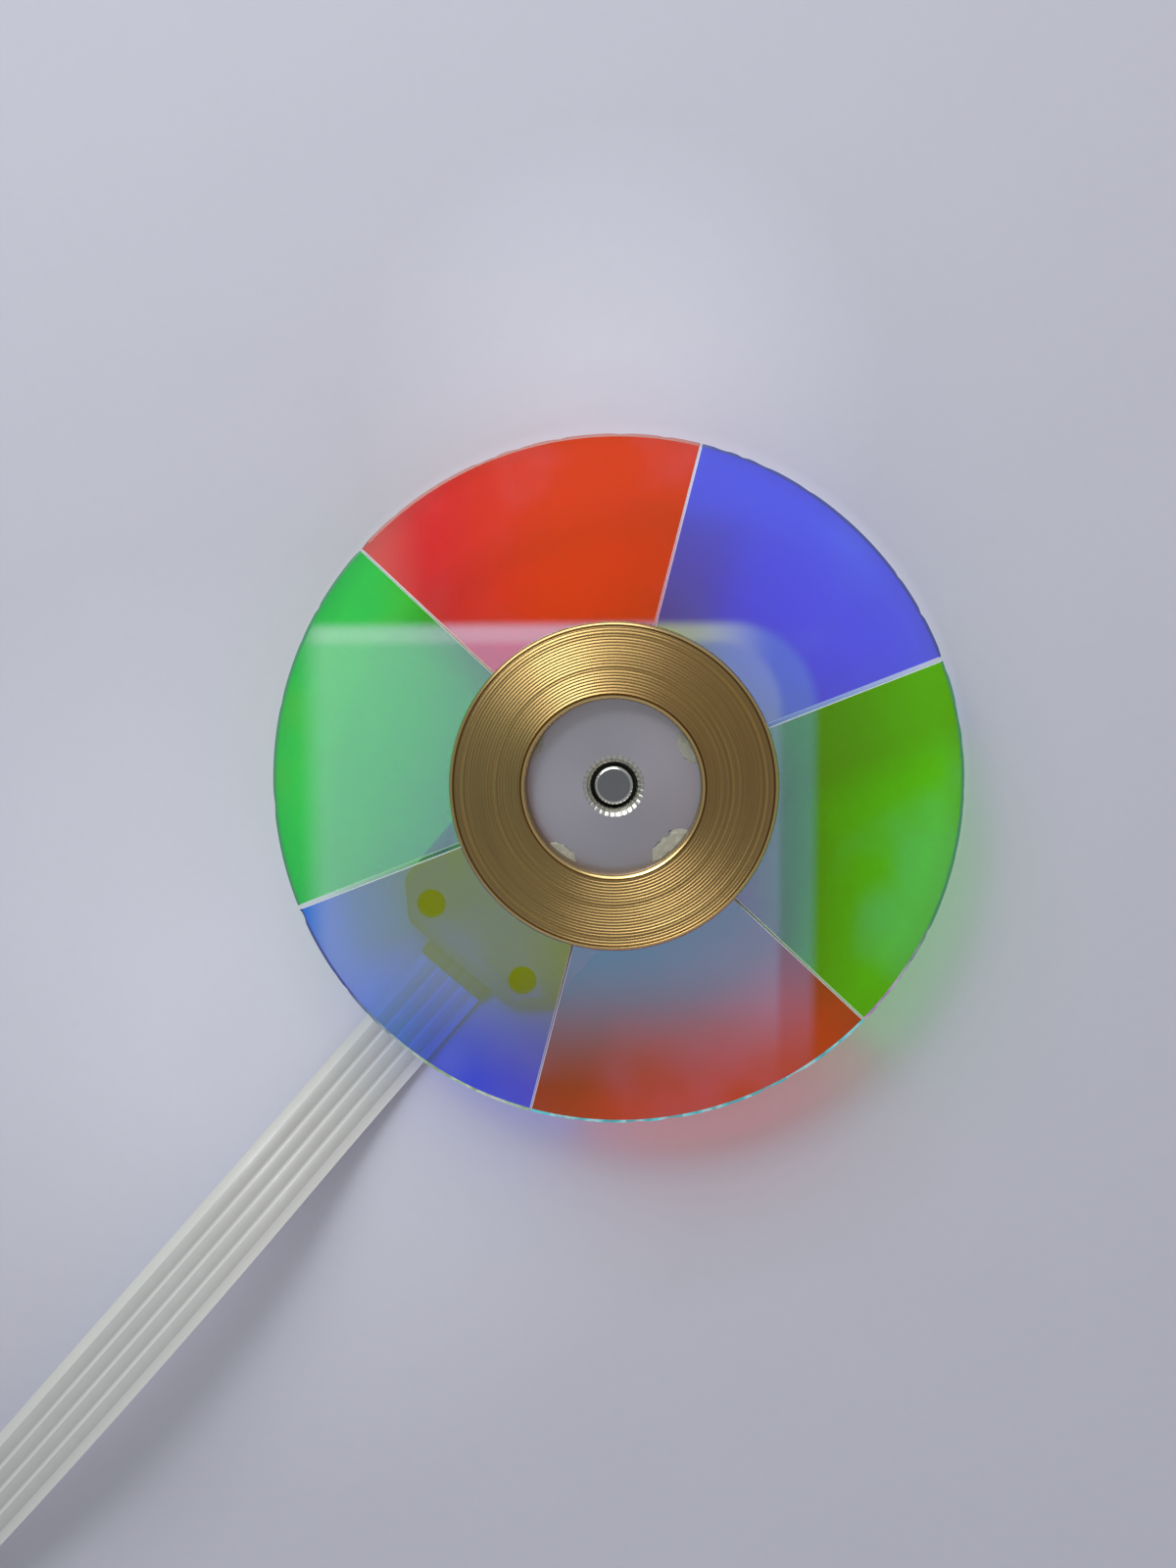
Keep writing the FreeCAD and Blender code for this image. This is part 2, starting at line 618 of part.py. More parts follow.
def ribbon_point(reach, height, across=0.0):
    """Point on the flat cable: distance out from its soldered end, height, distance across."""
    heading = math.radians(RIBBON_HEADING)
    start = Vector(TONGUE_SHIFT, -EAR_REACH - RIBBON_START_GAP, 0)
    forward = Vector(math.cos(heading), math.sin(heading), 0)
    sideways = Vector(-math.sin(heading), math.cos(heading), 0)
    return start + forward * reach + sideways * across + UP * height


def route_corners():
    """For each corner of the route: where its arc starts and ends, its centre, radius and side."""
    corners = []
    for before, corner, after in zip(RIBBON_ROUTE, RIBBON_ROUTE[1:], RIBBON_ROUTE[2:]):
        incoming = FreeCAD.Base.Vector2d(corner[0] - before[0], corner[1] - before[1])
        outgoing = FreeCAD.Base.Vector2d(after[0] - corner[0], after[1] - corner[1])
        in_angle = math.atan2(incoming.y, incoming.x)
        out_angle = math.atan2(outgoing.y, outgoing.x)
        turn = out_angle - in_angle
        tangent = ARC_SHARE * min(incoming.length(), outgoing.length())
        corners.append({
            "point": corner,
            "tangent": tangent,
            "in_angle": in_angle,
            "out_angle": out_angle,
            "radius": tangent / math.tan(abs(turn) / 2),
            "side": math.copysign(1.0, turn),
        })
    return corners


def beside(point, angle, along, offset):
    """Point a distance along a heading and an offset to its left."""
    reach = point[0] + along * math.cos(angle) - offset * math.sin(angle)
    height = point[1] + along * math.sin(angle) + offset * math.cos(angle)
    return (reach, height)


def ribbon_side(offset, across):
    """Edges of one face of the cable: straight runs joined by tangent arcs."""
    corners = route_corners()
    edges = []
    previous = beside(RIBBON_ROUTE[0], corners[0]["in_angle"], 0.0, offset)
    for corner in corners:
        arc_start = beside(corner["point"], corner["in_angle"], -corner["tangent"], offset)
        arc_end = beside(corner["point"], corner["out_angle"], corner["tangent"], offset)
        to_centre = corner["side"] * corner["radius"]
        centre = beside(corner["point"], corner["in_angle"], -corner["tangent"], to_centre)
        middle_angle = (corner["in_angle"] + corner["out_angle"]) / 2
        reach_out = corner["radius"] - corner["side"] * offset
        arc_middle = beside(centre, middle_angle, 0.0, -corner["side"] * reach_out)
        ends = [ribbon_point(*place, across) for place in (previous, arc_start, arc_middle, arc_end)]
        edges.append(Part.LineSegment(ends[0], ends[1]).toShape())
        edges.append(Part.Arc(ends[1], ends[2], ends[3]).toShape())
        previous = arc_end
    last = beside(RIBBON_ROUTE[-1], corners[-1]["out_angle"], 0.0, offset)
    edges.append(Part.LineSegment(ribbon_point(*previous, across), ribbon_point(*last, across)).toShape())
    return edges


def across_vector(width):
    """Vector across the cable."""
    return ribbon_point(0, 0, width) - ribbon_point(0, 0, 0)


def ribbon_cable():
    """Flat cable along its route, as one solid of its outer shape."""
    edge = -RIBBON_WIDTH / 2
    upper = ribbon_side(RIBBON_THICKNESS / 2, edge)
    lower = ribbon_side(-RIBBON_THICKNESS / 2, edge)
    start_cap = Part.LineSegment(lower[0].Vertexes[0].Point, upper[0].Vertexes[0].Point).toShape()
    end_cap = Part.LineSegment(lower[-1].Vertexes[-1].Point, upper[-1].Vertexes[-1].Point).toShape()
    outline = Part.Wire(Part.__sortEdges__(upper + lower + [start_cap, end_cap]))
    cable = Part.Face(outline).extrude(across_vector(RIBBON_WIDTH))
    length = sum(side.Length for side in ribbon_side(0.0, edge))
    section = RIBBON_WIDTH * RIBBON_THICKNESS
    radii = [round(corner["radius"], 1) for corner in route_corners()]
    print(f"flat cable: length {length:.1f} mm, bend radii {radii} mm")
    print(f"flat cable: volume {cable.Volume:.2f} mm3, section times length {section * length:.2f} mm3")
    return cable


def strip_on_last_run(length, bottom, top, width, middle):
    """Flat strip along the end of the cable, between two heights above its middle."""
    angle = route_corners()[-1]["out_angle"]
    end = RIBBON_ROUTE[-1]
    places = [(-length, bottom), (0.0, bottom), (0.0, top), (-length, top)]
    points = [beside(end, angle, along, offset) for along, offset in places]
    corners = [ribbon_point(*point, middle - width / 2) for point in points]
    return Part.Face(Part.makePolygon(corners + corners[:1])).extrude(across_vector(width))


def ribbon_stiffener():
    """Stiff film on top of the far end of the cable."""
    bottom = RIBBON_THICKNESS / 2
    return strip_on_last_run(STIFFENER_LENGTH, bottom, bottom + STIFFENER_THICKNESS, RIBBON_WIDTH, 0.0)


def ribbon_contacts():
    """Bare ends of the conductors, on the underside of the far end."""
    top = -RIBBON_THICKNESS / 2
    bottom = top - CONTACT_THICKNESS
    first = -(CONDUCTOR_COUNT - 1) * CONDUCTOR_PITCH / 2
    middles = [first + index * CONDUCTOR_PITCH for index in range(CONDUCTOR_COUNT)]
    return Part.makeCompound([
        strip_on_last_run(CONTACT_LENGTH, bottom, top, CONDUCTOR_WIDTH, middle) for middle in middles
    ])


def build_nodes():
    """Every sub-part by name."""
    nodes = filter_glasses()
    nodes["balance_ring"] = balance_ring()
    nodes["hub"] = hub()
    nodes["glue_dabs"] = glue_dabs()
    nodes["rotor_cup"] = rotor_cup()
    nodes["rotor_magnet"] = rotor_magnet()
    nodes["timing_mark"] = timing_mark()
    nodes["shaft"] = shaft()
    nodes["retaining_washer"] = retaining_washer()
    nodes["base_plate"] = base_plate()
    nodes["bearing_holder"] = bearing_holder()
    nodes["sleeve_bearing"] = sleeve_bearing()
    nodes["thrust_pad"] = thrust_pad()
    nodes["thrust_cap"] = thrust_cap()
    nodes["stator_core"] = stator_core()
    nodes["upper_insulator"] = upper_insulator()
    nodes["lower_insulator"] = lower_insulator()
    for phase, letter in enumerate("uvw"):
        nodes[f"coils_phase_{letter}"] = phase_coils(phase)
    nodes["coil_leads"] = coil_leads()
    nodes["solder_joints"] = solder_joints()
    nodes["flex_circuit"] = flex_circuit()
    nodes["ribbon_cable"] = ribbon_cable()
    nodes["ribbon_stiffener"] = ribbon_stiffener()
    nodes["ribbon_contacts"] = ribbon_contacts()
    return nodes


os.makedirs("parts", exist_ok=True)
for node_name, node_shape in build_nodes().items():
    assert node_shape.isValid(), node_name
    node_shape.exportStep(f"parts/{node_name}.step")
    print(f"{node_name}: {len(node_shape.Solids)} solid(s), {node_shape.Volume:.2f} mm3")
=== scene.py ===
# %% [markdown]
# # A projector colour wheel, built piece by piece
# The wheel is six coated glasses, clamped on the hub of a small motor by a brass ring.
# The exact solids come from a CAD model, which is loaded first as a frame.
# Each cell then gives one piece its real surface: new meshes where light shows the detail,
# and node materials everywhere.

# %% Load the frame
import math

import bmesh
import bpy
from mathutils import Matrix, Vector, noise


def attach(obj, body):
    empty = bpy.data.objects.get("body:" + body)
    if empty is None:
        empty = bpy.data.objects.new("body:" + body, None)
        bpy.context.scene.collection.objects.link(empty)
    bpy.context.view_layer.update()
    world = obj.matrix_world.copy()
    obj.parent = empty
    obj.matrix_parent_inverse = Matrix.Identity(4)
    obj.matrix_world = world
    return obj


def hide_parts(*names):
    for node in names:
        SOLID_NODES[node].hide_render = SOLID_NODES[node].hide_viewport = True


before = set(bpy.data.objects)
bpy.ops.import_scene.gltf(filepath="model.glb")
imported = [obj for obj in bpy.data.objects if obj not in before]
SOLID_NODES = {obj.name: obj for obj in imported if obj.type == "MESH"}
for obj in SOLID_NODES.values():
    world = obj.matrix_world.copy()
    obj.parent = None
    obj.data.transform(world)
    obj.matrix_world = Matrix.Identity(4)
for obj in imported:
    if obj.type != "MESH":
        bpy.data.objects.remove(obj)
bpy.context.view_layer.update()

# %% [markdown]
# ## Units and places
# Blender works in metres, and this wheel is 52 mm across, so its sizes are easier to read
# in millimetres. One value converts them. Most pieces are round the motor axis, so a helper
# gives a point from a radius, an angle and a height.

# %% Millimetres and polar places
MM = 0.001
IMAGE_TURN = 40.5


def polar(radius, degrees, height=0.0):
    """Point in metres, from a radius and a height in millimetres and an angle in degrees."""
    angle = math.radians(degrees)
    return Vector((radius * math.cos(angle), radius * math.sin(angle), height)) * MM


# %% [markdown]
# ## Camera
# A small wheel on a table is seen from almost straight above, a little off its axis.
# The lens is short and the camera near, so the raised glass looks larger than the plate
# below it. The angles come from fitting the round outlines of the glass and the ring.

# %% Place the camera
camera_data = bpy.data.cameras.new("overhead_camera")
camera_data.lens = 27.0
camera_data.sensor_width = 36.0
camera_data.clip_start = 0.005
camera_data.clip_end = 20.0
camera = bpy.data.objects.new("overhead_camera", camera_data)
camera.location = (-2.486 * MM, 6.907 * MM, 97.537 * MM)
camera.rotation_euler = [math.radians(angle) for angle in (-4.376, 2.921, 40.277)]
bpy.context.collection.objects.link(camera)
bpy.context.scene.camera = camera
print("camera height above the table:", round(camera.location.z / MM, 1), "mm")

# %% [markdown]
# ## From a bmesh to a piece
# Every piece here is shaped in a bmesh, Blender's editable mesh. When it is ready it becomes
# an object at the origin, with its place in its mesh. Its flat and curved faces should look
# right without extra geometry, so faces are smooth and only sharp edges stay hard.
# A piece also says which moving body it rides on, and which CAD solids it stands for.

# %% Finish a piece


def as_piece(name, bm, materials, body, nodes=(), hard_angle=32.0):
    """Object made from a bmesh, riding on a body and standing for the named CAD nodes."""
    for face in bm.faces:
        face.smooth = True
    for edge in bm.edges:
        edge.smooth = edge.calc_face_angle(0.0) < math.radians(hard_angle)
    mesh = bpy.data.meshes.new(name)
    bm.to_mesh(mesh)
    bm.free()
    for material in materials:
        mesh.materials.append(material)
    piece = bpy.data.objects.new(name, mesh)
    bpy.context.collection.objects.link(piece)
    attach(piece, body)
    if nodes:
        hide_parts(*nodes)
    print(name, "has", len(mesh.polygons), "faces")
    return piece


def principled(name, colour, roughness, metallic=0.0):
    """New material and its Principled shader."""
    material = bpy.data.materials.new(name)
    material.use_nodes = True
    shader = material.node_tree.nodes["Principled BSDF"]
    shader.inputs["Base Color"].default_value = (*colour, 1.0)
    shader.inputs["Roughness"].default_value = roughness
    shader.inputs["Metallic"].default_value = metallic
    return material, shader


def adjust(material, **values):
    """Sets named inputs of a material's Principled shader."""
    shader = material.node_tree.nodes["Principled BSDF"]
    for label, value in values.items():
        shader.inputs[label.replace("_", " ")].default_value = value


# %% [markdown]
# ## Shared surface effects
# Three effects return on many pieces. The first is fine grain: uneven tone, uneven polish
# and a slight bump, as rolled sheet, moulded plastic and film have. The second is the fine
# rings that a lathe tool leaves on turned metal: noise that changes quickly with the radius
# and slowly round the axis. The third is even stripes, as a stack of sheets or a flat
# circuit has. Each is a node group, built once and placed with its own values.

# %% Node group helpers


def new_group(name, inputs, outputs):
    """Shader node group with value inputs and typed outputs, and its two end nodes."""
    group = bpy.data.node_groups.new(name, "ShaderNodeTree")
    for label, default in inputs:
        socket = group.interface.new_socket(label, in_out="INPUT", socket_type="NodeSocketFloat")
        socket.default_value = default
    for label, kind in outputs:
        group.interface.new_socket(label, in_out="OUTPUT", socket_type=kind)
    start = group.nodes.new("NodeGroupInput")
    end = group.nodes.new("NodeGroupOutput")
    return group, start, end


def feed(tree, socket, value):
    """Gives an input socket its value: another socket, a number, or a colour of three parts."""
    if isinstance(value, bpy.types.NodeSocket):
        tree.links.new(value, socket)
    else:
        socket.default_value = (*value, 1.0) if isinstance(value, tuple) else value


def maths(tree, operation, *values):
    """Output of a Math node whose inputs are sockets or numbers."""
    node = tree.nodes.new("ShaderNodeMath")
    node.operation = operation
    for socket, value in zip(node.inputs, values):
        feed(tree, socket, value)
    return node.outputs[0]


def ramped(tree, value, start=0.0, end=1.0, low=0.0, high=1.0, shape="LINEAR"):
    """Number that goes from low to high while a value goes from start to end."""
    node = tree.nodes.new("ShaderNodeMapRange")
    node.interpolation_type = shape
    settings = {"Value": value, "From Min": start, "From Max": end, "To Min": low, "To Max": high}
    for label, setting in settings.items():
        feed(tree, node.inputs[label], setting)
    return node.outputs["Result"]


def mixed_colour(tree, factor, low, high):
    """Colour between two colours, as a factor says."""
    node = tree.nodes.new("ShaderNodeMix")
    node.data_type = "RGBA"
    feed(tree, node.inputs["Factor"], factor)
    feed(tree, node.inputs[6], low)
    feed(tree, node.inputs[7], high)
    return node.outputs[2]


def texture(tree, kind, vector, **settings):
    """Texture node that reads a vector, with its settings made."""
    node = tree.nodes.new(kind)
    tree.links.new(vector, node.inputs["Vector"])
    for label, value in settings.items():
        node.inputs[label].default_value = value
    return node


def put_out_tone(group, start, end, factor, change):
    """Feeds a group's Tone output: 1, made less or more by the named change, as a factor says."""
    lowest = maths(group, "SUBTRACT", 1.0, start.outputs[change])
    highest = maths(group, "ADD", 1.0, start.outputs[change])
    group.links.new(ramped(group, factor, low=lowest, high=highest), end.inputs["Tone"])


def put_out_bump(group, start, end, height, sunken=False):
    """Feeds a group's Normal output with a bump of the group's own depth."""
    bump = group.nodes.new("ShaderNodeBump")
    bump.invert = sunken
    group.links.new(height, bump.inputs["Height"])
    group.links.new(start.outputs["Depth"], bump.inputs["Distance"])
    group.links.new(bump.outputs["Normal"], end.inputs["Normal"])


# %% Fine grain
BROAD_SCALE = 0.08
grain_group, start, end = new_group(
    "fine_grain",
    [
        ("Scale", 4000.0),
        ("Tone Change", 0.1),
        ("Roughness Low", 0.4),
        ("Roughness High", 0.5),
        ("Depth", 0.00001),
    ],
    [("Tone", "NodeSocketFloat"), ("Roughness", "NodeSocketFloat"), ("Normal", "NodeSocketVector")],
)
place = grain_group.nodes.new("ShaderNodeTexCoord")
fine = texture(grain_group, "ShaderNodeTexNoise", place.outputs["Object"], Detail=4.0)
broad = texture(grain_group, "ShaderNodeTexNoise", place.outputs["Object"], Detail=2.0)
grain_group.links.new(start.outputs["Scale"], fine.inputs["Scale"])
broad_scale = maths(grain_group, "MULTIPLY", start.outputs["Scale"], BROAD_SCALE)
grain_group.links.new(broad_scale, broad.inputs["Scale"])
summed = maths(grain_group, "ADD", fine.outputs["Fac"], broad.outputs["Fac"])
put_out_tone(grain_group, start, end, maths(grain_group, "MULTIPLY", summed, 0.5), "Tone Change")
lowest, highest = start.outputs["Roughness Low"], start.outputs["Roughness High"]
uneven_polish = ramped(grain_group, broad.outputs["Fac"], low=lowest, high=highest)
grain_group.links.new(uneven_polish, end.inputs["Roughness"])
put_out_bump(grain_group, start, end, fine.outputs["Fac"])
print("fine grain is", len(grain_group.nodes), "nodes")

# %% Lathe lines
lathe_group, start, end = new_group(
    "lathe_lines",
    [("Pitch", 0.0001), ("Wander", 2.0), ("Tone Change", 0.1), ("Depth", 0.00001)],
    [("Tone", "NodeSocketFloat"), ("Normal", "NodeSocketVector")],
)
place = lathe_group.nodes.new("ShaderNodeTexCoord")
split = lathe_group.nodes.new("ShaderNodeSeparateXYZ")
lathe_group.links.new(place.outputs["Object"], split.inputs[0])
x_squared = maths(lathe_group, "MULTIPLY", split.outputs["X"], split.outputs["X"])
y_squared = maths(lathe_group, "MULTIPLY", split.outputs["Y"], split.outputs["Y"])
radius = maths(lathe_group, "SQRT", maths(lathe_group, "ADD", x_squared, y_squared))
angle = maths(lathe_group, "ARCTAN2", split.outputs["Y"], split.outputs["X"])
line = lathe_group.nodes.new("ShaderNodeCombineXYZ")
lines_out = maths(lathe_group, "DIVIDE", radius, start.outputs["Pitch"])
lathe_group.links.new(lines_out, line.inputs["X"])
wander = maths(lathe_group, "MULTIPLY", maths(lathe_group, "COSINE", angle), start.outputs["Wander"])
lathe_group.links.new(wander, line.inputs["Y"])
lines_up = maths(lathe_group, "DIVIDE", split.outputs["Z"], start.outputs["Pitch"])
lathe_group.links.new(lines_up, line.inputs["Z"])
scratch = texture(lathe_group, "ShaderNodeTexNoise", line.outputs[0], Scale=1.0, Detail=2.0)
put_out_tone(lathe_group, start, end, scratch.outputs["Fac"], "Tone Change")
put_out_bump(lathe_group, start, end, scratch.outputs["Fac"])
print("lathe lines are", len(lathe_group.nodes), "nodes")

# %% Stripes
LINE_SHARPNESS = 12.0
stripe_group, start, end = new_group(
    "stripes",
    [
        ("Coordinate", 0.0),
        ("Pitch", 0.001),
        ("Line Share", 0.5),
        ("Tone Low", 0.7),
        ("Tone High", 1.0),
        ("Depth", 0.00001),
    ],
    [("Tone", "NodeSocketFloat"), ("Normal", "NodeSocketVector")],
)
half_pitch = maths(stripe_group, "MULTIPLY", start.outputs["Pitch"], 0.5)
wave = maths(stripe_group, "PINGPONG", start.outputs["Coordinate"], half_pitch)
share = maths(stripe_group, "DIVIDE", wave, half_pitch)
past_edge = maths(stripe_group, "SUBTRACT", share, start.outputs["Line Share"])
steep = maths(stripe_group, "MULTIPLY", past_edge, LINE_SHARPNESS)
on_line = maths(stripe_group, "MAXIMUM", maths(stripe_group, "MINIMUM", steep, 1.0), 0.0)
stripe_tone = ramped(stripe_group, on_line, low=start.outputs["Tone High"], high=start.outputs["Tone Low"])
stripe_group.links.new(stripe_tone, end.inputs["Tone"])
put_out_bump(stripe_group, start, end, on_line, sunken=True)
print("stripes are", len(stripe_group.nodes), "nodes")

# %% Materials that use the effects


def place_group(material, group, **values):
    """Group node in a material, with its named values set."""
    node = material.node_tree.nodes.new("ShaderNodeGroup")
    node.node_tree = group
    for label, value in values.items():
        node.inputs[label.replace("_", " ")].default_value = value
    return node


def toned(material, colour, tone):
    """Colour socket that is a colour made lighter and darker by a tone."""
    mix = material.node_tree.nodes.new("ShaderNodeMix")
    mix.data_type = "RGBA"
    mix.blend_type = "MULTIPLY"
    mix.inputs["Factor"].default_value = 1.0
    mix.inputs[6].default_value = (*colour, 1.0)
    material.node_tree.links.new(tone, mix.inputs[7])
    return mix.outputs[2]


def grained(name, colour, metallic, scale, tone, low, high, depth):
    """Material with the fine grain group on its colour, its roughness from low to high, and its bump."""
    material, shader = principled(name, colour, low, metallic)
    roughness = {"Roughness_Low": low, "Roughness_High": high}
    grain = place_group(material, grain_group, Scale=scale, Tone_Change=tone, Depth=depth, **roughness)
    links = material.node_tree.links
    links.new(toned(material, colour, grain.outputs["Tone"]), shader.inputs["Base Color"])
    links.new(grain.outputs["Roughness"], shader.inputs["Roughness"])
    links.new(grain.outputs["Normal"], shader.inputs["Normal"])
    return material


def turned_metal(name, colour, roughness, pitch, wander, tone, depth, anisotropic=0.0):
    """Metal with the lathe line group on its colour and bump."""
    material, shader = principled(name, colour, roughness, 1.0)
    lathe = place_group(material, lathe_group, Pitch=pitch, Wander=wander, Tone_Change=tone, Depth=depth)
    links = material.node_tree.links
    links.new(toned(material, colour, lathe.outputs["Tone"]), shader.inputs["Base Color"])
    links.new(lathe.outputs["Normal"], shader.inputs["Normal"])
    shader.inputs["Anisotropic"].default_value = anisotropic
    return material


def striped(name, colour, metallic, roughness, axis, pitch, share, low, depth):
    """Material crossed by darker sunken lines, at even steps along X, Y or Z."""
    material, shader = principled(name, colour, roughness, metallic)
    stripes = place_group(material, stripe_group, Pitch=pitch, Line_Share=share, Tone_Low=low, Depth=depth)
    place = material.node_tree.nodes.new("ShaderNodeTexCoord")
    split = material.node_tree.nodes.new("ShaderNodeSeparateXYZ")
    links = material.node_tree.links
    links.new(place.outputs["Object"], split.inputs[0])
    links.new(split.outputs[axis], stripes.inputs["Coordinate"])
    links.new(toned(material, colour, stripes.outputs["Tone"]), shader.inputs["Base Color"])
    links.new(stripes.outputs["Normal"], shader.inputs["Normal"])
    return material


# %% [markdown]
# ## Flat cable
# A flat cable is strong across its width and springy along its length, so it leaves the
# motor flat, lifts off the table in one low arch, and comes back down to its connector end.
# A real one is a fixed length of film, so its line is a smooth spline through a few points,
# and the film and its four conductors are one cross-section that is carried along that line.

# %% Route of the cable
CABLE_START = Vector((0.00025, -0.0203, 0.0))
CABLE_HEADING = math.radians(-90.95)
CABLE_ROUTE = [
    (0.0, 0.000295),
    (0.0082, 0.000295),
    (0.0177, 0.0021),
    (0.0287, 0.0070),
    (0.0407, 0.0089),
    (0.0537, 0.0084),
    (0.0667, 0.0059),
    (0.0787, 0.0022),
    (0.0897, 0.00075),
    (0.0982, 0.00032),
]
CABLE_WIDTH = 0.00625
forward = Vector((math.cos(CABLE_HEADING), math.sin(CABLE_HEADING), 0.0))
sideways = Vector((-math.sin(CABLE_HEADING), math.cos(CABLE_HEADING), 0.0))
route_curve = bpy.data.curves.new("cable_route", "CURVE")
route_curve.dimensions = "3D"
route_curve.resolution_u = 12
spline = route_curve.splines.new("NURBS")
spline.points.add(len(CABLE_ROUTE) - 1)
for control, (reach, height) in zip(spline.points, CABLE_ROUTE):
    control.co = (*(CABLE_START + forward * reach + Vector((0, 0, height))), 1.0)
spline.order_u = 3
spline.use_endpoint_u = True
route_object = bpy.data.objects.new("cable_route", route_curve)
route_points = [vertex.co.copy() for vertex in bpy.data.meshes.new_from_object(route_object).vertices]
bpy.data.objects.remove(route_object)
print("the cable's line is read at", len(route_points), "points")

# %% Cable materials
FILM_GLOSS = 0.15
WIRE_TONE = (0.565, 0.575, 0.565)
film = grained("white_film", (0.72, 0.73, 0.71), 0.0, 1500.0, 0.04, 0.32, 0.45, 0.000004)
wire_film = grained("film_over_tinned_wire", WIRE_TONE, 0.1, 900.0, 0.08, 0.38, 0.5, 0.000006)
for cable_film in (film, wire_film):
    adjust(cable_film, Coat_Weight=FILM_GLOSS)
print("cable films:", film.name, "and", wire_film.name)

# %% Sweep the cable
WIRE_PITCH = 1.25
WIRE_WIDTH = 0.95
WIRE_SHOULDER = 0.06
WIRE_MIDDLES = [(index - 1.5) * WIRE_PITCH for index in range(4)]
FILM_EDGE = 0.09
CABLE_HALF_THICKNESS = 0.125


def cable_section():
    """Corners across the cable, in millimetres: thin edges, and a low flat rise over each wire."""
    half = CABLE_WIDTH / MM / 2
    upper = [(-half, FILM_EDGE)]
    for middle in WIRE_MIDDLES:
        upper.append((middle - WIRE_WIDTH / 2 - WIRE_SHOULDER, FILM_EDGE))
        upper.append((middle - WIRE_WIDTH / 2, CABLE_HALF_THICKNESS))
        upper.append((middle + WIRE_WIDTH / 2, CABLE_HALF_THICKNESS))
        upper.append((middle + WIRE_WIDTH / 2 + WIRE_SHOULDER, FILM_EDGE))
    upper.append((half, FILM_EDGE))
    return upper + [(across, -height) for across, height in reversed(upper)]


def frame_at(index):
    """Matrix of the cable at one point of its line: sideways, upwards, along."""
    before = route_points[max(index - 1, 0)]
    after = route_points[min(index + 1, len(route_points) - 1)]
    along = (after - before).normalized()
    upwards = along.cross(-sideways).normalized()
    columns = Matrix((sideways, upwards, along)).transposed().to_4x4()
    return Matrix.Translation(route_points[index]) @ columns


def place_on_film(corner):
    """Number that orders the cable's corners by their place across it, and then along it."""
    from_start = corner.co - CABLE_START
    return from_start.dot(sideways) * 1000 + from_start.dot(forward)


bm = bmesh.new()
corners = [Vector((across * MM, height * MM, 0.0)) for across, height in cable_section()]
section = [bm.verts.new(frame_at(0) @ corner) for corner in corners]
ring_edges = [bm.edges.new(pair) for pair in zip(section, section[1:] + section[:1])]
bm.faces.new(section)
for index in range(1, len(route_points)):
    step = bmesh.ops.extrude_edge_only(bm, edges=ring_edges)["geom"]
    section = [item for item in step if isinstance(item, bmesh.types.BMVert)]
    ring_edges = [item for item in step if isinstance(item, bmesh.types.BMEdge) and item.is_boundary]
    move = frame_at(index) @ frame_at(index - 1).inverted()
    bmesh.ops.transform(bm, matrix=move, verts=section)
bmesh.ops.holes_fill(bm, edges=ring_edges)
bmesh.ops.recalc_face_normals(bm, faces=bm.faces)
bm.verts.sort(key=place_on_film)
for face in bm.faces:
    across = (face.calc_center_median() - CABLE_START).dot(sideways) / MM
    nearest = min(abs(across - middle) for middle in WIRE_MIDDLES)
    face.material_index = 1 if nearest < WIRE_WIDTH / 2 and len(face.verts) == 4 else 0
cable = as_piece("flat_cable", bm, [film, wire_film], "base", ["ribbon_cable"], hard_angle=60)

# %% Stiff end of the cable
blue_film = grained("blue_stiff_film", (0.02, 0.10, 0.42), 0.0, 2500.0, 0.1, 0.25, 0.4, 0.000005)
tinned = grained("tinned_copper", (0.72, 0.72, 0.70), 1.0, 3000.0, 0.12, 0.22, 0.4, 0.000004)


def copy_of(node):
    """Bmesh copy of a CAD piece, with its loose triangles joined into whole faces."""
    bm = bmesh.new()
    bm.from_mesh(SOLID_NODES[node].data)
    bmesh.ops.remove_doubles(bm, verts=bm.verts, dist=1e-6)
    bmesh.ops.dissolve_limit(bm, angle_limit=math.radians(1.0), verts=bm.verts, edges=bm.edges)
    return bm


def break_edges(bm, width, sharper_than=30.0, segments=2, chosen=None):
    """Bevels the sharp edges, or the chosen ones, by a width in millimetres, as a tool leaves them."""
    sharp = [edge for edge in bm.edges if edge.calc_face_angle(0.0) > math.radians(sharper_than)]
    if chosen is not None:
        sharp = [edge for edge in sharp if chosen(edge)]
    bmesh.ops.bevel(
        bm,
        geom=sharp,
        offset=width * MM,
        offset_type="OFFSET",
        affect="EDGES",
        segments=segments,
        profile=0.5,
        material=-1,
        clamp_overlap=True,
    )
    return bm


bm = break_edges(copy_of("ribbon_stiffener"), 0.04)
stiffener = as_piece("cable_stiffener", bm, [blue_film], "base", ["ribbon_stiffener"])
bm = break_edges(copy_of("ribbon_contacts"), 0.015)
contacts = as_piece("cable_contacts", bm, [tinned], "base", ["ribbon_contacts"])

# %% [markdown]
# ## Table and light
# The table is a sheet of matt lavender-grey paper. Light comes from one large soft window
# beyond the top of the picture, and from a dim sky all round. Coated glass and turned brass
# show what they reflect, so the sky is darker straight overhead, with one broad pale patch.

# %% Paper
paper = grained("grey_paper", (0.60, 0.605, 0.70), 0.0, 900.0, 0.03, 0.85, 0.95, 0.00002)
paper_tree = paper.node_tree


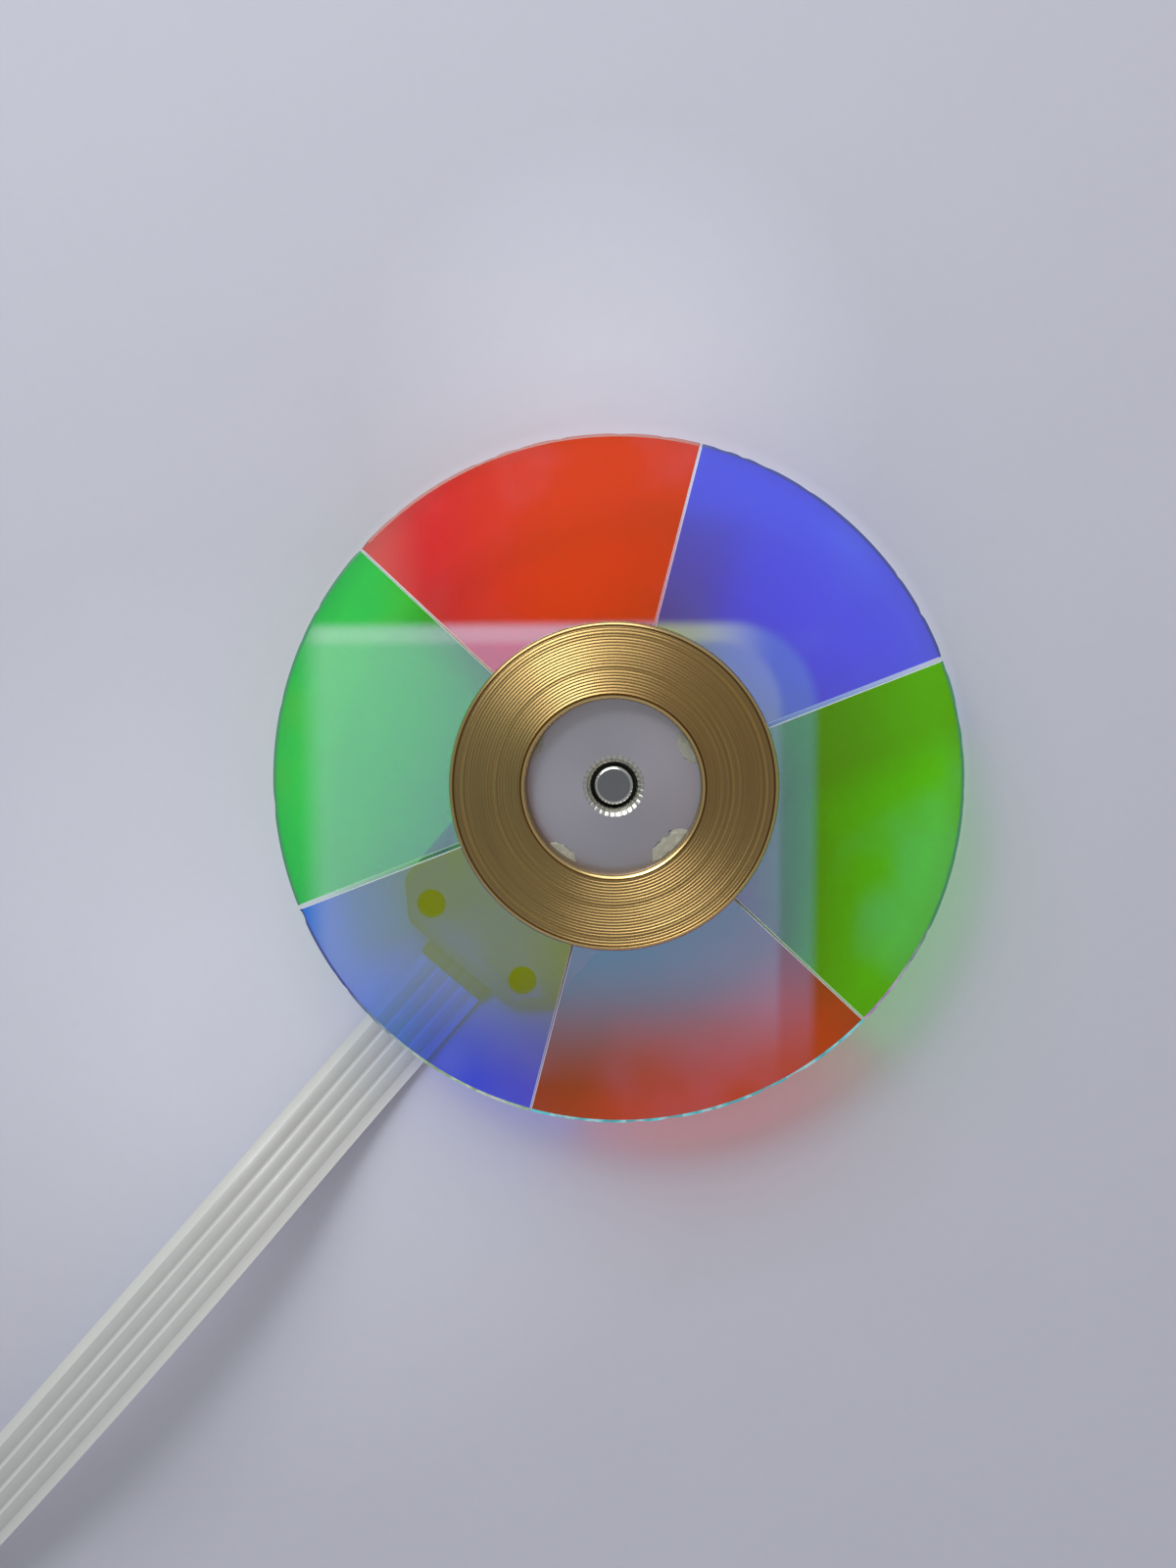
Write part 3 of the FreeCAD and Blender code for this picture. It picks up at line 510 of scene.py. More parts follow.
def paper_ramp(centre, start, end, low, high):
    """Number that goes from low to high between two distances from a point, in millimetres."""
    place = paper_tree.nodes.new("ShaderNodeTexCoord")
    reach = paper_tree.nodes.new("ShaderNodeVectorMath")
    reach.operation = "DISTANCE"
    paper_tree.links.new(place.outputs["Object"], reach.inputs[0])
    reach.inputs[1].default_value = (centre[0] * MM, centre[1] * MM, 0.0)
    return ramped(paper_tree, reach.outputs["Value"], start * MM, end * MM, low, high)


print("plain paper has", len(paper_tree.nodes), "nodes")

# %% Painted shade and light on the paper
# The paper's colour carries painted shade and painted light: darkest under the motor, black
# in the screw holes, and lighter far from the wheel.
SHADE_CENTRE = (6.47, -7.63)
SCREW_HOLES = [(-4.925, -17.75), (4.925, -17.75)]
shade = paper_ramp(SHADE_CENTRE, 3.0, 27.0, 0.33, 1.45)
for hole in SCREW_HOLES:
    painted_hole_shade = paper_ramp(hole, 1.2, 1.35, 0.03, 1.0)
    shade = maths(paper_tree, "MULTIPLY", shade, painted_hole_shade)
# Painted light: the paper is lighter above the disc and left of the cable.
ABOVE_DISC = (-20.1, 23.7)
LEFT_OF_CABLE = (-10.0, -37.7)
above = paper_ramp(ABOVE_DISC, 4.0, 22.0, 1.2, 1.0)
left = paper_ramp(LEFT_OF_CABLE, 8.0, 42.0, 1.22, 1.0)
open_paper = maths(paper_tree, "MULTIPLY", above, left)
outside = paper_ramp((0.0, 0.0), 26.4, 29.0, 0.0, 1.0)
tone = ramped(paper_tree, outside, low=shade, high=open_paper)
paper_colour = paper_tree.nodes["Principled BSDF"].inputs["Base Color"]
shaded_paper = paper_tree.nodes.new("ShaderNodeVectorMath")
shaded_paper.operation = "SCALE"
paper_tree.links.new(paper_colour.links[0].from_socket, shaded_paper.inputs[0])
paper_tree.links.new(tone, shaded_paper.inputs["Scale"])
paper_tree.links.new(shaded_paper.outputs[0], paper_colour)
print("the paper has", len(paper_tree.nodes), "nodes")

# %% Table
TABLE_SIZE = 1.5
TABLE_DROP = Vector((0.0, 0.0, -0.05)) * MM
bm = bmesh.new()
bmesh.ops.create_grid(bm, x_segments=1, y_segments=1, size=TABLE_SIZE, matrix=Matrix.Translation(TABLE_DROP))
table_mesh = bpy.data.meshes.new("paper_table")
bm.to_mesh(table_mesh)
bm.free()
table_mesh.materials.append(paper)
table = bpy.data.objects.new("paper_table", table_mesh)
bpy.context.collection.objects.link(table)
print("the table is", round(table.dimensions.x, 2), "m wide")

# %% Window light


def area_light(name, image_angle, elevation, distance, size, power, colour):
    """Soft lamp, given by its width and height, that looks at the wheel from an angle in the picture."""
    lamp = bpy.data.lights.new(name, "AREA")
    lamp.shape = "RECTANGLE"
    lamp.size, lamp.size_y = size
    lamp.energy = power
    lamp.color = colour
    lamp_object = bpy.data.objects.new(name, lamp)
    turn = math.radians(image_angle + IMAGE_TURN)
    lift = math.radians(elevation)
    direction = Vector((math.cos(turn) * math.cos(lift), math.sin(turn) * math.cos(lift), math.sin(lift)))
    lamp_object.location = direction * distance
    lamp_object.rotation_euler = direction.to_track_quat("Z", "Y").to_euler()
    bpy.context.collection.objects.link(lamp_object)
    print(name, "stands", distance, "m away and gives", power, "W")


area_light("window", 110.0, 42.0, 0.42, (0.40, 0.24), 0.74, (1.0, 0.985, 0.96))
area_light("ceiling_bounce", 118.0, 55.0, 0.24, (0.06, 0.06), 0.10, (0.97, 0.98, 1.0))

# %% [markdown]
# ## Sky
# Half of what coated glass shows is mirrored, so the sky matters as much as the coatings.
# It is drawn from its own direction, turned to the picture's right and up: dim walls, a
# darker ceiling that goes from green at the left to brown at the right, and one pale patch
# with a bright border and a round corner. Direction divided by height gives a flat plan of
# it, on which the patch is easy to place.

# %% Directions in the sky
SHARE_OF_HORIZON = 0.05
sky = bpy.data.worlds.new("soft_sky")
sky.use_nodes = True
bpy.context.scene.world = sky
tree = sky.node_tree
background = tree.nodes["Background"]
direction = tree.nodes.new("ShaderNodeTexCoord")
turn = tree.nodes.new("ShaderNodeMapping")
turn.vector_type = "POINT"
turn.inputs["Rotation"].default_value = (0.0, 0.0, -math.radians(IMAGE_TURN))
tree.links.new(direction.outputs["Generated"], turn.inputs["Vector"])
split = tree.nodes.new("ShaderNodeSeparateXYZ")
tree.links.new(turn.outputs["Vector"], split.inputs[0])
height = maths(tree, "MAXIMUM", split.outputs["Z"], SHARE_OF_HORIZON)
rightwards = maths(tree, "DIVIDE", split.outputs["X"], height)
upwards = maths(tree, "DIVIDE", split.outputs["Y"], height)
print("the sky is turned by", IMAGE_TURN, "degrees, as the picture is")

# %% Walls and ceiling


def soft_step(value, start, end):
    """Smooth ramp over the sky that is 0 at start and 1 at end, whichever of them is larger."""
    low, high = (0.0, 1.0) if start < end else (1.0, 0.0)
    return ramped(tree, value, min(start, end), max(start, end), low, high, "SMOOTHSTEP")


def zone(factor, low, high):
    """Colour that changes from one part of the sky to the next."""
    return mixed_colour(tree, factor, low, high)


cloud = texture(tree, "ShaderNodeTexNoise", direction.outputs["Generated"], Scale=9.0, Detail=2.0)
cloudy = soft_step(cloud.outputs["Fac"], 0.50, 0.75)
left_ceiling = zone(soft_step(rightwards, -0.24, -0.18), (0.04, 0.46, 0.30), (0.04, 0.08, 0.08))
plain_ceiling = zone(soft_step(rightwards, -0.22, -0.06), left_ceiling, (0.40, 0.22, 0.02))
ceiling = zone(cloudy, plain_ceiling, (0.42, 0.32, 0.22))
sideways_share = maths(tree, "MULTIPLY", split.outputs["X"], split.outputs["X"])
walls = zone(soft_step(sideways_share, 0.1, 0.8), (0.43, 0.44, 0.48), (0.30, 0.31, 0.33))
room = zone(soft_step(split.outputs["Z"], 0.84, 0.95), walls, ceiling)
print("walls and ceiling take", len(tree.nodes), "nodes")

# %% Pale patch with a round corner
CORNER_UP = -0.012


def past_corner(centre_right):
    """Distance of a direction past the centre of the patch's round corner, to the right and up."""
    right = maths(tree, "MAXIMUM", maths(tree, "SUBTRACT", rightwards, centre_right), 0.0)
    up = maths(tree, "MAXIMUM", maths(tree, "SUBTRACT", upwards, CORNER_UP), 0.0)
    squares = maths(tree, "ADD", maths(tree, "MULTIPLY", right, right), maths(tree, "MULTIPLY", up, up))
    return maths(tree, "SQRT", squares)


patch = maths(tree, "MULTIPLY", soft_step(rightwards, -0.305, -0.275), soft_step(upwards, -0.35, -0.22))
patch = maths(tree, "MULTIPLY", soft_step(past_corner(0.07), 0.077, 0.065), patch)
patch = maths(tree, "MULTIPLY", patch, soft_step(split.outputs["Z"], 0.2, 0.4))
border_colour = zone(soft_step(rightwards, 0.05, 0.11), (1.5, 1.5, 1.4), (0.50, 0.55, 0.58))
inside_border = soft_step(past_corner(0.056), 0.061, 0.051)
patch_colour = zone(inside_border, border_colour, (0.82, 0.90, 0.98))
tree.links.new(zone(patch, room, patch_colour), background.inputs["Color"])
background.inputs["Strength"].default_value = 1.0
print("the whole sky takes", len(tree.nodes), "nodes")

# %% [markdown]
# ## Filter glasses
# A dichroic coating passes one colour and sends the rest back, so blue glass reflects
# yellow and red glass reflects cyan. In a Principled shader the colour that glass passes is
# its base colour, and its specular tint is the colour that it reflects. The coating reflects
# far more than bare glass, so its index is set higher than that of glass.
# Lamps must still reach the table through the glass and colour it, so for their rays a
# tinted Transparent shader stands in.

# %% Clouds, smudges and specks
glass_group, start, end = new_group(
    "used_glass",
    [("Cloud Change", 0.05), ("Speck Size", 0.05), ("Smudge", 0.01)],
    [("Tone", "NodeSocketFloat"), ("Speck", "NodeSocketFloat"), ("Roughness", "NodeSocketFloat")],
)
SPECK_RARITY = 0.6
SPECK_STRENGTH = 0.5
CLEAN_ROUGHNESS = 0.006
place = glass_group.nodes.new("ShaderNodeTexCoord")
clouds = texture(glass_group, "ShaderNodeTexNoise", place.outputs["Object"], Scale=130.0)
smudges = texture(glass_group, "ShaderNodeTexNoise", place.outputs["Object"], Scale=420.0, Detail=4.0)
specks = texture(glass_group, "ShaderNodeTexVoronoi", place.outputs["Object"], Scale=420.0)
put_out_tone(glass_group, start, end, clouds.outputs["Fac"], "Cloud Change")
chance = glass_group.nodes.new("ShaderNodeSeparateXYZ")
glass_group.links.new(specks.outputs["Color"], chance.inputs[0])
speck_share = maths(glass_group, "SUBTRACT", chance.outputs["X"], SPECK_RARITY)
speck_reach = maths(glass_group, "MULTIPLY", speck_share, start.outputs["Speck Size"])
speck = maths(glass_group, "LESS_THAN", specks.outputs["Distance"], speck_reach)
glass_group.links.new(maths(glass_group, "MULTIPLY", speck, SPECK_STRENGTH), end.inputs["Speck"])
smudged = maths(glass_group, "MULTIPLY", smudges.outputs["Fac"], start.outputs["Smudge"])
smudged = maths(glass_group, "ADD", smudged, CLEAN_ROUGHNESS)
glass_group.links.new(smudged, end.inputs["Roughness"])
print("used glass is", len(glass_group.nodes), "nodes")

# %% Coated glass
DUST = (0.70, 0.70, 0.68)
COATING_INDEX = 3.4


def coated_glass(name, passes, reflects, lets_through):
    """Glass that passes one colour and reflects another, with slight clouds, smudges and specks of dust."""
    material, shader = principled(name, passes, 0.015)
    used = place_group(material, glass_group, Cloud_Change=0.07, Speck_Size=0.07, Smudge=0.012)
    glass_tree = material.node_tree
    nodes, links = glass_tree.nodes, glass_tree.links
    clouded = toned(material, passes, used.outputs["Tone"])
    links.new(mixed_colour(glass_tree, used.outputs["Speck"], clouded, DUST), shader.inputs["Base Color"])
    links.new(used.outputs["Roughness"], shader.inputs["Roughness"])
    adjust(material, Transmission_Weight=1.0, IOR=COATING_INDEX, Specular_Tint=(*reflects, 1.0))
    stand_in = nodes.new("ShaderNodeBsdfTransparent")
    stand_in.inputs["Color"].default_value = (*lets_through, 1.0)
    path = nodes.new("ShaderNodeLightPath")
    from_lamp = maths(glass_tree, "MAXIMUM", path.outputs["Is Shadow Ray"], path.outputs["Is Diffuse Ray"])
    choose = nodes.new("ShaderNodeMixShader")
    links.new(from_lamp, choose.inputs[0])
    links.new(shader.outputs[0], choose.inputs[1])
    links.new(stand_in.outputs[0], choose.inputs[2])
    links.new(choose.outputs[0], nodes["Material Output"].inputs["Surface"])
    return material


GLASS = {
    "red": coated_glass("red_coated_glass", (1.0, 0.035, 0.035), (0.10, 0.68, 0.95), (1.0, 0.35, 0.30)),
    "green": coated_glass("green_coated_glass", (0.08, 0.80, 0.012), (0.53, 0.22, 0.88), (0.50, 1.0, 0.45)),
    "blue": coated_glass("blue_coated_glass", (0.05, 0.17, 1.0), (0.64, 0.66, 0.01), (0.45, 0.52, 1.0)),
}
print("coated glasses:", ", ".join(GLASS))

# %% Ground sides and cut rims
# The sides where two glasses meet are ground, and the outer wall is cut and half clear.
GLASS_INDEX = 1.5
ground_edge = grained("ground_glass_edge", (0.93, 0.97, 1.0), 0.0, 6000.0, 0.1, 0.25, 0.5, 0.00001)
adjust(ground_edge, Transmission_Weight=0.1, IOR=GLASS_INDEX)
rim_wall = grained("cut_glass_rim", (0.72, 0.86, 0.84), 0.0, 5000.0, 0.15, 0.25, 0.45, 0.00002)
adjust(rim_wall, Transmission_Weight=0.6, IOR=GLASS_INDEX)
print("side and wall:", ground_edge.name, rim_wall.name)

# %% Painted glint of the chipped rims
# The upper rim is chipped. Its colour has a painted glint in its mirror colour on the side of the disc away
# from the window, and is plain elsewhere.
PAINTED_GLINT_SIDE = Vector((0.74, -0.67, 0.0))
PAINTED_GLINT_RANGE = (13.0, 20.0)


def painted_rim_glint(name, plain, glint):
    """Chipped upper edge of a glass: plain, with a painted glint in its mirror colour on one side of the
    disc.
    """
    material, shader = principled(name, plain, 0.22)
    adjust(material, Coat_Weight=0.6)
    rim_tree = material.node_tree
    nodes, links = rim_tree.nodes, rim_tree.links
    place = nodes.new("ShaderNodeTexCoord")
    streaks = texture(rim_tree, "ShaderNodeTexNoise", place.outputs["Object"], Scale=520.0, Detail=4.0)
    ramp = nodes.new("ShaderNodeValToRGB")
    stops = ramp.color_ramp.elements
    stops[0].position, stops[1].position = 0.36, 0.46
    stops[0].color = (*(0.65 * part for part in glint), 1.0)
    stops[1].color = (*glint, 1.0)
    stops.new(0.53).color = (*(0.5 + 0.5 * part for part in glint), 1.0)
    stops.new(0.62).color = (*(0.7 * part for part in glint), 1.0)
    links.new(streaks.outputs["Fac"], ramp.inputs["Fac"])
    along = nodes.new("ShaderNodeVectorMath")
    along.operation = "DOT_PRODUCT"
    along.inputs[1].default_value = PAINTED_GLINT_SIDE / MM
    links.new(place.outputs["Object"], along.inputs[0])
    on_painted_glint_side = ramped(rim_tree, along.outputs["Value"], *PAINTED_GLINT_RANGE)
    links.new(mixed_colour(rim_tree, on_painted_glint_side, plain, ramp.outputs["Color"]), shader.inputs["Base Color"])
    return material


PAINTED_RIM_GLINTS = {
    "red": painted_rim_glint("cyan_painted_rim_glint", (0.42, 0.10, 0.08), (0.16, 0.85, 0.95)),
    "green": painted_rim_glint("violet_painted_rim_glint", (0.07, 0.32, 0.15), (0.80, 0.50, 0.90)),
    "blue": painted_rim_glint("pale_green_painted_rim_glint", (0.07, 0.10, 0.36), (0.50, 0.72, 0.42)),
}
print("rims:", ", ".join(material.name for material in PAINTED_RIM_GLINTS.values()))

# %% One glass sector
DISC_RADIUS = 26.0
GLASS_BORE = 8.4
GLASS_BOTTOM = 8.3
GLASS_TOP = 9.4
LOWER_EDGE = 0.05
RIM_WIDTH = 0.24
RIM_DEPTH = 0.08
JOINT_BEVEL = 0.03
JOINTS = [
    ("red_filter_1", 116.0, 61.3, 0.15),
    ("green_filter_1", 177.3, 64.4, 0.15),
    ("blue_filter_1", 241.7, 54.3, 0.32),
    ("red_filter_2", 296.0, 61.3, 0.12),
    ("green_filter_2", 357.3, 64.4, 0.15),
    ("blue_filter_2", 61.7, 54.3, 0.32),
]


def trim(bm, angle, side, gap):
    """Cuts a sector half a gap inside a joint, on the side given by +1 or -1."""
    across = polar(1.0, angle + 90.0 * side) / MM
    bmesh.ops.bisect_plane(
        bm,
        geom=bm.verts[:] + bm.edges[:] + bm.faces[:],
        plane_co=across * gap / 2 * MM,
        plane_no=-across,
        clear_outer=True,
    )
    bmesh.ops.holes_fill(bm, edges=[edge for edge in bm.edges if edge.is_boundary])


def glass_sector(start, span, first_gap, last_gap):
    """Ring sector spun from an upright rectangle, and trimmed to leave its joints."""
    bm = bmesh.new()
    outline = [
        (GLASS_BORE, GLASS_BOTTOM),
        (DISC_RADIUS - LOWER_EDGE, GLASS_BOTTOM),
        (DISC_RADIUS, GLASS_BOTTOM + LOWER_EDGE),
        (DISC_RADIUS, GLASS_TOP - RIM_DEPTH),
        (DISC_RADIUS - RIM_WIDTH, GLASS_TOP),
        (GLASS_BORE, GLASS_TOP),
    ]
    corners = [bm.verts.new(polar(radius, start, height)) for radius, height in outline]
    edges = [bm.edges.new(pair) for pair in zip(corners, corners[1:] + corners[:1])]
    bm.faces.new(corners)
    steps = round(span)
    spun = bmesh.ops.spin(
        bm, geom=edges, cent=(0, 0, 0), axis=(0, 0, 1), angle=math.radians(span), steps=steps, use_merge=False
    )
    last = [item for item in spun["geom_last"] if isinstance(item, bmesh.types.BMEdge)]
    bmesh.ops.holes_fill(bm, edges=last)
    trim(bm, start, 1, first_gap)
    trim(bm, start + span, -1, last_gap)
    bmesh.ops.remove_doubles(bm, verts=bm.verts, dist=1e-7)
    bmesh.ops.recalc_face_normals(bm, faces=bm.faces)
    return bm


print("the glasses fill", sum(span for node, start_angle, span, gap in JOINTS), "degrees")

# %% Chip, dress and place the six glasses


def chip_rim(bm):
    """Small chips along the outer rim, as a glass cutter leaves them."""
    for vertex in bm.verts:
        radius = vertex.co.xy.length / MM
        if radius > DISC_RADIUS - RIM_WIDTH / 2:
            chip = max(0.0, noise.noise(vertex.co * 900.0) - 0.18) * 0.25
            shrink = (radius - chip) / radius
            vertex.co.x *= shrink
            vertex.co.y *= shrink


def on_joint(edge):
    """True for an edge round the flat side of a glass, where it meets its joint."""
    for face in edge.link_faces:
        outwards = face.calc_center_median().xy.normalized()
        if abs(face.normal.z) < 0.1 and abs(face.normal.xy.dot(outwards)) < 0.3:
            return True
    return False


def glass_face_kind(face):
    """Number of a face's material: coated face 0, ground side 1, chipped rim with painted glint 2, outer wall
    3.
    """
    middle = face.calc_center_median()
    near_rim = middle.xy.length > (DISC_RADIUS - 0.4) * MM
    if near_rim and GLASS_TOP - RIM_DEPTH < middle.z / MM < GLASS_TOP - 0.005:
        return 2
    if near_rim and face.normal.xy.dot(middle.xy.normalized()) > 0.9:
        return 3
    return 0 if abs(face.normal.z) > 0.9 else 1


gaps = [gap for node, start_angle, span, gap in JOINTS]
for index, (node, start_angle, span, gap) in enumerate(JOINTS):
    bm = glass_sector(start_angle, span, gap, gaps[(index + 1) % len(gaps)])
    bmesh.ops.dissolve_limit(bm, angle_limit=math.radians(0.3), verts=bm.verts, edges=bm.edges)
    break_edges(bm, JOINT_BEVEL, segments=1, chosen=on_joint)
    chip_rim(bm)
    for face in bm.faces:
        face.material_index = glass_face_kind(face)
    colour_name = node.split("_")[0]
    materials = [GLASS[colour_name], ground_edge, PAINTED_RIM_GLINTS[colour_name], rim_wall]
    as_piece(f"{node}_glass", bm, materials, "rotor", [node], hard_angle=12)

# %% [markdown]
# ## Balance ring
# The ring is turned from brass bar. The lathe tool leaves real grooves, a quarter of a
# millimetre apart and not quite even, and bright chamfers at both rims. The grooves catch
# the window above and below the axis and stay dark to the left and right. That only works
# with true shape, so the profile itself has the grooves, and finer tool marks are a bump.

# %% Grooved brass ring


def turned(profile, steps=180, closed=True):
    """Profile of (radius, height) corners in millimetres, spun a full turn round the motor axis."""
    bm = bmesh.new()
    corners = [bm.verts.new(polar(radius, 0.0, height)) for radius, height in profile]
    following = corners[1:] + corners[:1] if closed else corners[1:]
    edges = [bm.edges.new(pair) for pair in zip(corners, following)]
    bmesh.ops.spin(
        bm, geom=corners + edges, cent=(0, 0, 0), axis=(0, 0, 1), angle=math.tau, steps=steps, use_merge=True
    )
    bmesh.ops.remove_doubles(bm, verts=bm.verts, dist=1e-7)
    bmesh.ops.recalc_face_normals(bm, faces=bm.faces)
    return bm


RING_OUTER = 12.2
RING_INNER = 6.5
RING_TOP = 11.3
RING_CHAMFER = 0.25
CHAMFER_ROUNDING = [(0.0, 0.25), (0.03, 0.17), (0.09, 0.09), (0.17, 0.035)]
GROOVE_PITCH = 0.22
GROOVE_DEPTH = 0.040
GROOVE_UNEVEN = 0.018
GROOVE_SHAPE = [(0.16, 0.0), (0.31, 0.6), (0.47, 1.0), (0.70, 0.55)]
brass = turned_metal("turned_brass", (0.335, 0.225, 0.088), 0.27, 0.00004, 2.0, 0.30, 0.000003, 0.3)
cut_brass = turned_metal("cut_brass_chamfer", (0.66, 0.48, 0.21), 0.2, 0.00006, 4.0, 0.15, 0.000003)


def ring_profile():
    """Ring section with grooves across its top, each a little different in depth."""
    corners = [(RING_INNER, GLASS_TOP), (RING_OUTER, GLASS_TOP)]
    corners += [(RING_OUTER - inset, RING_TOP - drop) for inset, drop in CHAMFER_ROUNDING]
    radius = RING_OUTER - RING_CHAMFER
    corners.append((radius, RING_TOP))
    corners.append((radius - 0.05, RING_TOP - 0.02))
    corners.append((radius - 0.09, RING_TOP - 0.10))
    corners.append((radius - 0.16, RING_TOP - 0.01))
    radius -= 0.16
    while radius > RING_INNER + RING_CHAMFER + GROOVE_PITCH + 0.16:
        depth = GROOVE_DEPTH + GROOVE_UNEVEN * noise.noise(Vector((radius * 17.3, 0.0, 0.0)))
        corners += [(radius - GROOVE_PITCH * share, RING_TOP - depth * drop) for share, drop in GROOVE_SHAPE]
        corners.append((radius - GROOVE_PITCH, RING_TOP - 0.003))
        radius -= GROOVE_PITCH
    corners.append((RING_INNER + RING_CHAMFER + 0.09, RING_TOP - 0.10))
    corners.append((RING_INNER + RING_CHAMFER + 0.02, RING_TOP))
    corners += [(RING_INNER + inset, RING_TOP - drop) for inset, drop in reversed(CHAMFER_ROUNDING)]
    return corners


def on_chamfer(face):
    """True for a face of the rounded chamfer at either rim of the ring's top."""
    middle = face.calc_center_median()
    radius = middle.xy.length / MM
    at_rim = radius > RING_OUTER - RING_CHAMFER or radius < RING_INNER + RING_CHAMFER
    return at_rim and middle.z > (RING_TOP - RING_CHAMFER) * MM and face.normal.z > 0.1


bm = turned(ring_profile(), 240)
for face in bm.faces:
    face.material_index = 1 if on_chamfer(face) else 0
as_piece("grooved_brass_ring", bm, [brass, cut_brass], "rotor", ["balance_ring"], hard_angle=40)

# %% [markdown]
# ## Hub, shaft and glue
# Inside the ring lies the hub's flat face, finely turned aluminium with a satin look.
# Its middle is countersunk, and the countersinking tool chattered, which left short
# radial ticks. The shaft's end sits just below. Milky glue holds the ring at four places.

# %% Hub
HUB_FACE = 9.4
BORE_TOP = 1.72
COUNTERSINK_TOP = 2.26
hub_metal = turned_metal("satin_aluminium", (0.39, 0.375, 0.45), 0.42, 0.00004, 1.2, 0.05, 0.000001, 0.2)
sink_metal = turned_metal("bright_countersink", (0.60, 0.61, 0.57), 0.22, 0.00006, 6.0, 0.2, 0.00001)
# The bore's near-black colour is painted shade.
dark_recess = grained("bore_painted_shade", (0.03, 0.03, 0.03), 0.5, 4000.0, 0.3, 0.3, 0.5, 0.000005)
hub_profile = [
    (1.5, 6.0),
    (3.9, 6.0),
    (4.0, 6.1),
    (4.0, 7.2),
    (12.1, 7.2),
    (12.2, 7.3),
    (12.2, 8.2),
    (12.1, 8.3),
    (8.25, 8.3),
    (8.25, HUB_FACE),
    (8.0, HUB_FACE),
    (5.0, HUB_FACE),
    (2.6, HUB_FACE),
    (2.34, HUB_FACE),
    (COUNTERSINK_TOP, HUB_FACE - 0.03),
    (2.04, HUB_FACE - 0.14),
    (1.86, HUB_FACE - 0.31),
    (1.76, HUB_FACE - 0.48),
    (BORE_TOP, HUB_FACE - 0.58),
    (BORE_TOP, HUB_FACE - 1.90),
    (1.5, HUB_FACE - 1.90),
]
TICK_COUNT = 32
TICK_DEPTH = 0.08


def hub_face_kind(face):
    """Number of a face's material: turned hub 0, countersink 1, bore in painted shade 2."""
    middle = face.calc_center_median() / MM
    if middle.xy.length < BORE_TOP + 0.01 and middle.z > HUB_FACE - 2.0:
        return 2
    in_countersink = BORE_TOP + 0.01 < middle.xy.length < COUNTERSINK_TOP + 0.04
    return 1 if in_countersink and middle.z > HUB_FACE - 0.8 else 0


bm = turned(hub_profile, 8 * TICK_COUNT)
for vertex in bm.verts:
    in_countersink = BORE_TOP + 0.02 < vertex.co.xy.length / MM < COUNTERSINK_TOP + 0.04
    if in_countersink and vertex.co.z > (HUB_FACE - 0.7) * MM:
        turn_angle = math.atan2(vertex.co.y, vertex.co.x)
        vertex.co.z -= TICK_DEPTH * MM * max(0.0, math.cos(TICK_COUNT * turn_angle)) ** 4
for face in bm.faces:
    face.material_index = hub_face_kind(face)
hub_materials = [hub_metal, sink_metal, dark_recess]
as_piece("turned_hub", bm, hub_materials, "rotor", ["hub"], hard_angle=15)

# %% Shaft
# Its end is rounded at the edge, which catches the window in one bright arc. Its end face is steel darkened
# by painted shade, and its edge is bright steel.
SHAFT_EDGE = (1.25, 8.73)
shaft_metal = turned_metal("ground_steel_painted_shade", (0.14, 0.135, 0.14), 0.22, 0.00003, 1.5, 0.08, 0.000002)
bright_steel = turned_metal("bright_shaft_edge", (0.72, 0.72, 0.68), 0.2, 0.00004, 3.0, 0.1, 0.000001)
shaft_profile = [
    (0.0, 0.95),
    (0.7, 0.95),
    (1.5, 1.25),
    (1.5, 1.3),
    (1.2, 1.3),
    (1.2, 1.6),
    (1.5, 1.6),
    (1.5, 8.72),
    (1.49, 8.79),
    (1.45, 8.87),
    (1.38, 8.94),
    (1.25, 9.0),
    (0.0, 9.0),
]
bm = turned(shaft_profile, 96, closed=False)
for face in bm.faces:
    middle = face.calc_center_median() / MM
    face.material_index = 1 if middle.xy.length > SHAFT_EDGE[0] and middle.z > SHAFT_EDGE[1] else 0
as_piece("ground_shaft", bm, [shaft_metal, bright_steel], "rotor", ["shaft"], hard_angle=24)

# %% Glue dabs
# Each dab is named by its angle, its length along the bore and its reach over the hub's face.
GLUE_DABS = [(67.5, 2.7, 0.88), (192.9, 2.2, 0.36), (273.5, 2.5, 0.57), (353.5, 3.65, 1.04)]
GLUE_HEIGHT = 0.13
glue = grained("milky_glue", (0.42, 0.42, 0.36), 0.0, 3000.0, 0.10, 0.25, 0.45, 0.00002)
adjust(glue, Subsurface_Weight=0.3, Subsurface_Radius=(0.001, 0.001, 0.0008))
bm = bmesh.new()
for dab_angle, dab_length, dab_reach in GLUE_DABS:
    size = Matrix.Diagonal((dab_reach * MM, dab_length / 2 * MM, GLUE_HEIGHT * MM, 1.0))
    to_bore = Matrix.Translation((RING_INNER * MM, 0.0, HUB_FACE * MM))
    where = Matrix.Rotation(math.radians(dab_angle), 4, "Z") @ to_bore
    bmesh.ops.create_icosphere(bm, subdivisions=4, radius=1.0, matrix=where @ size)
hub_level = HUB_FACE * MM
for vertex in bm.verts:
    wobble = 1.0 + 0.35 * noise.noise(vertex.co * 2200.0) + 0.30 * noise.noise(vertex.co * 9000.0)
    radius = vertex.co.xy.length / MM
    inset = max(RING_INNER - radius, 0.0) * wobble
    vertex.co.xy *= (RING_INNER - 0.01 - inset) / radius
    vertex.co.z = max(hub_level, hub_level + (vertex.co.z - hub_level) * wobble)
bmesh.ops.remove_doubles(bm, verts=bm.verts, dist=2e-6)
bmesh.ops.recalc_face_normals(bm, faces=bm.faces)
as_piece("glue_dabs_cured", bm, [glue], "rotor", ["glue_dabs"])

# %% [markdown]
# ## Motor pieces
# The CAD shapes of the motor's pieces are right, so each is copied, its triangles are
# joined into whole faces, and its sharp edges are broken as the real process leaves them.
# What is left is the finish: plated sheet, sintered bronze, moulded plastic, enamelled wire.

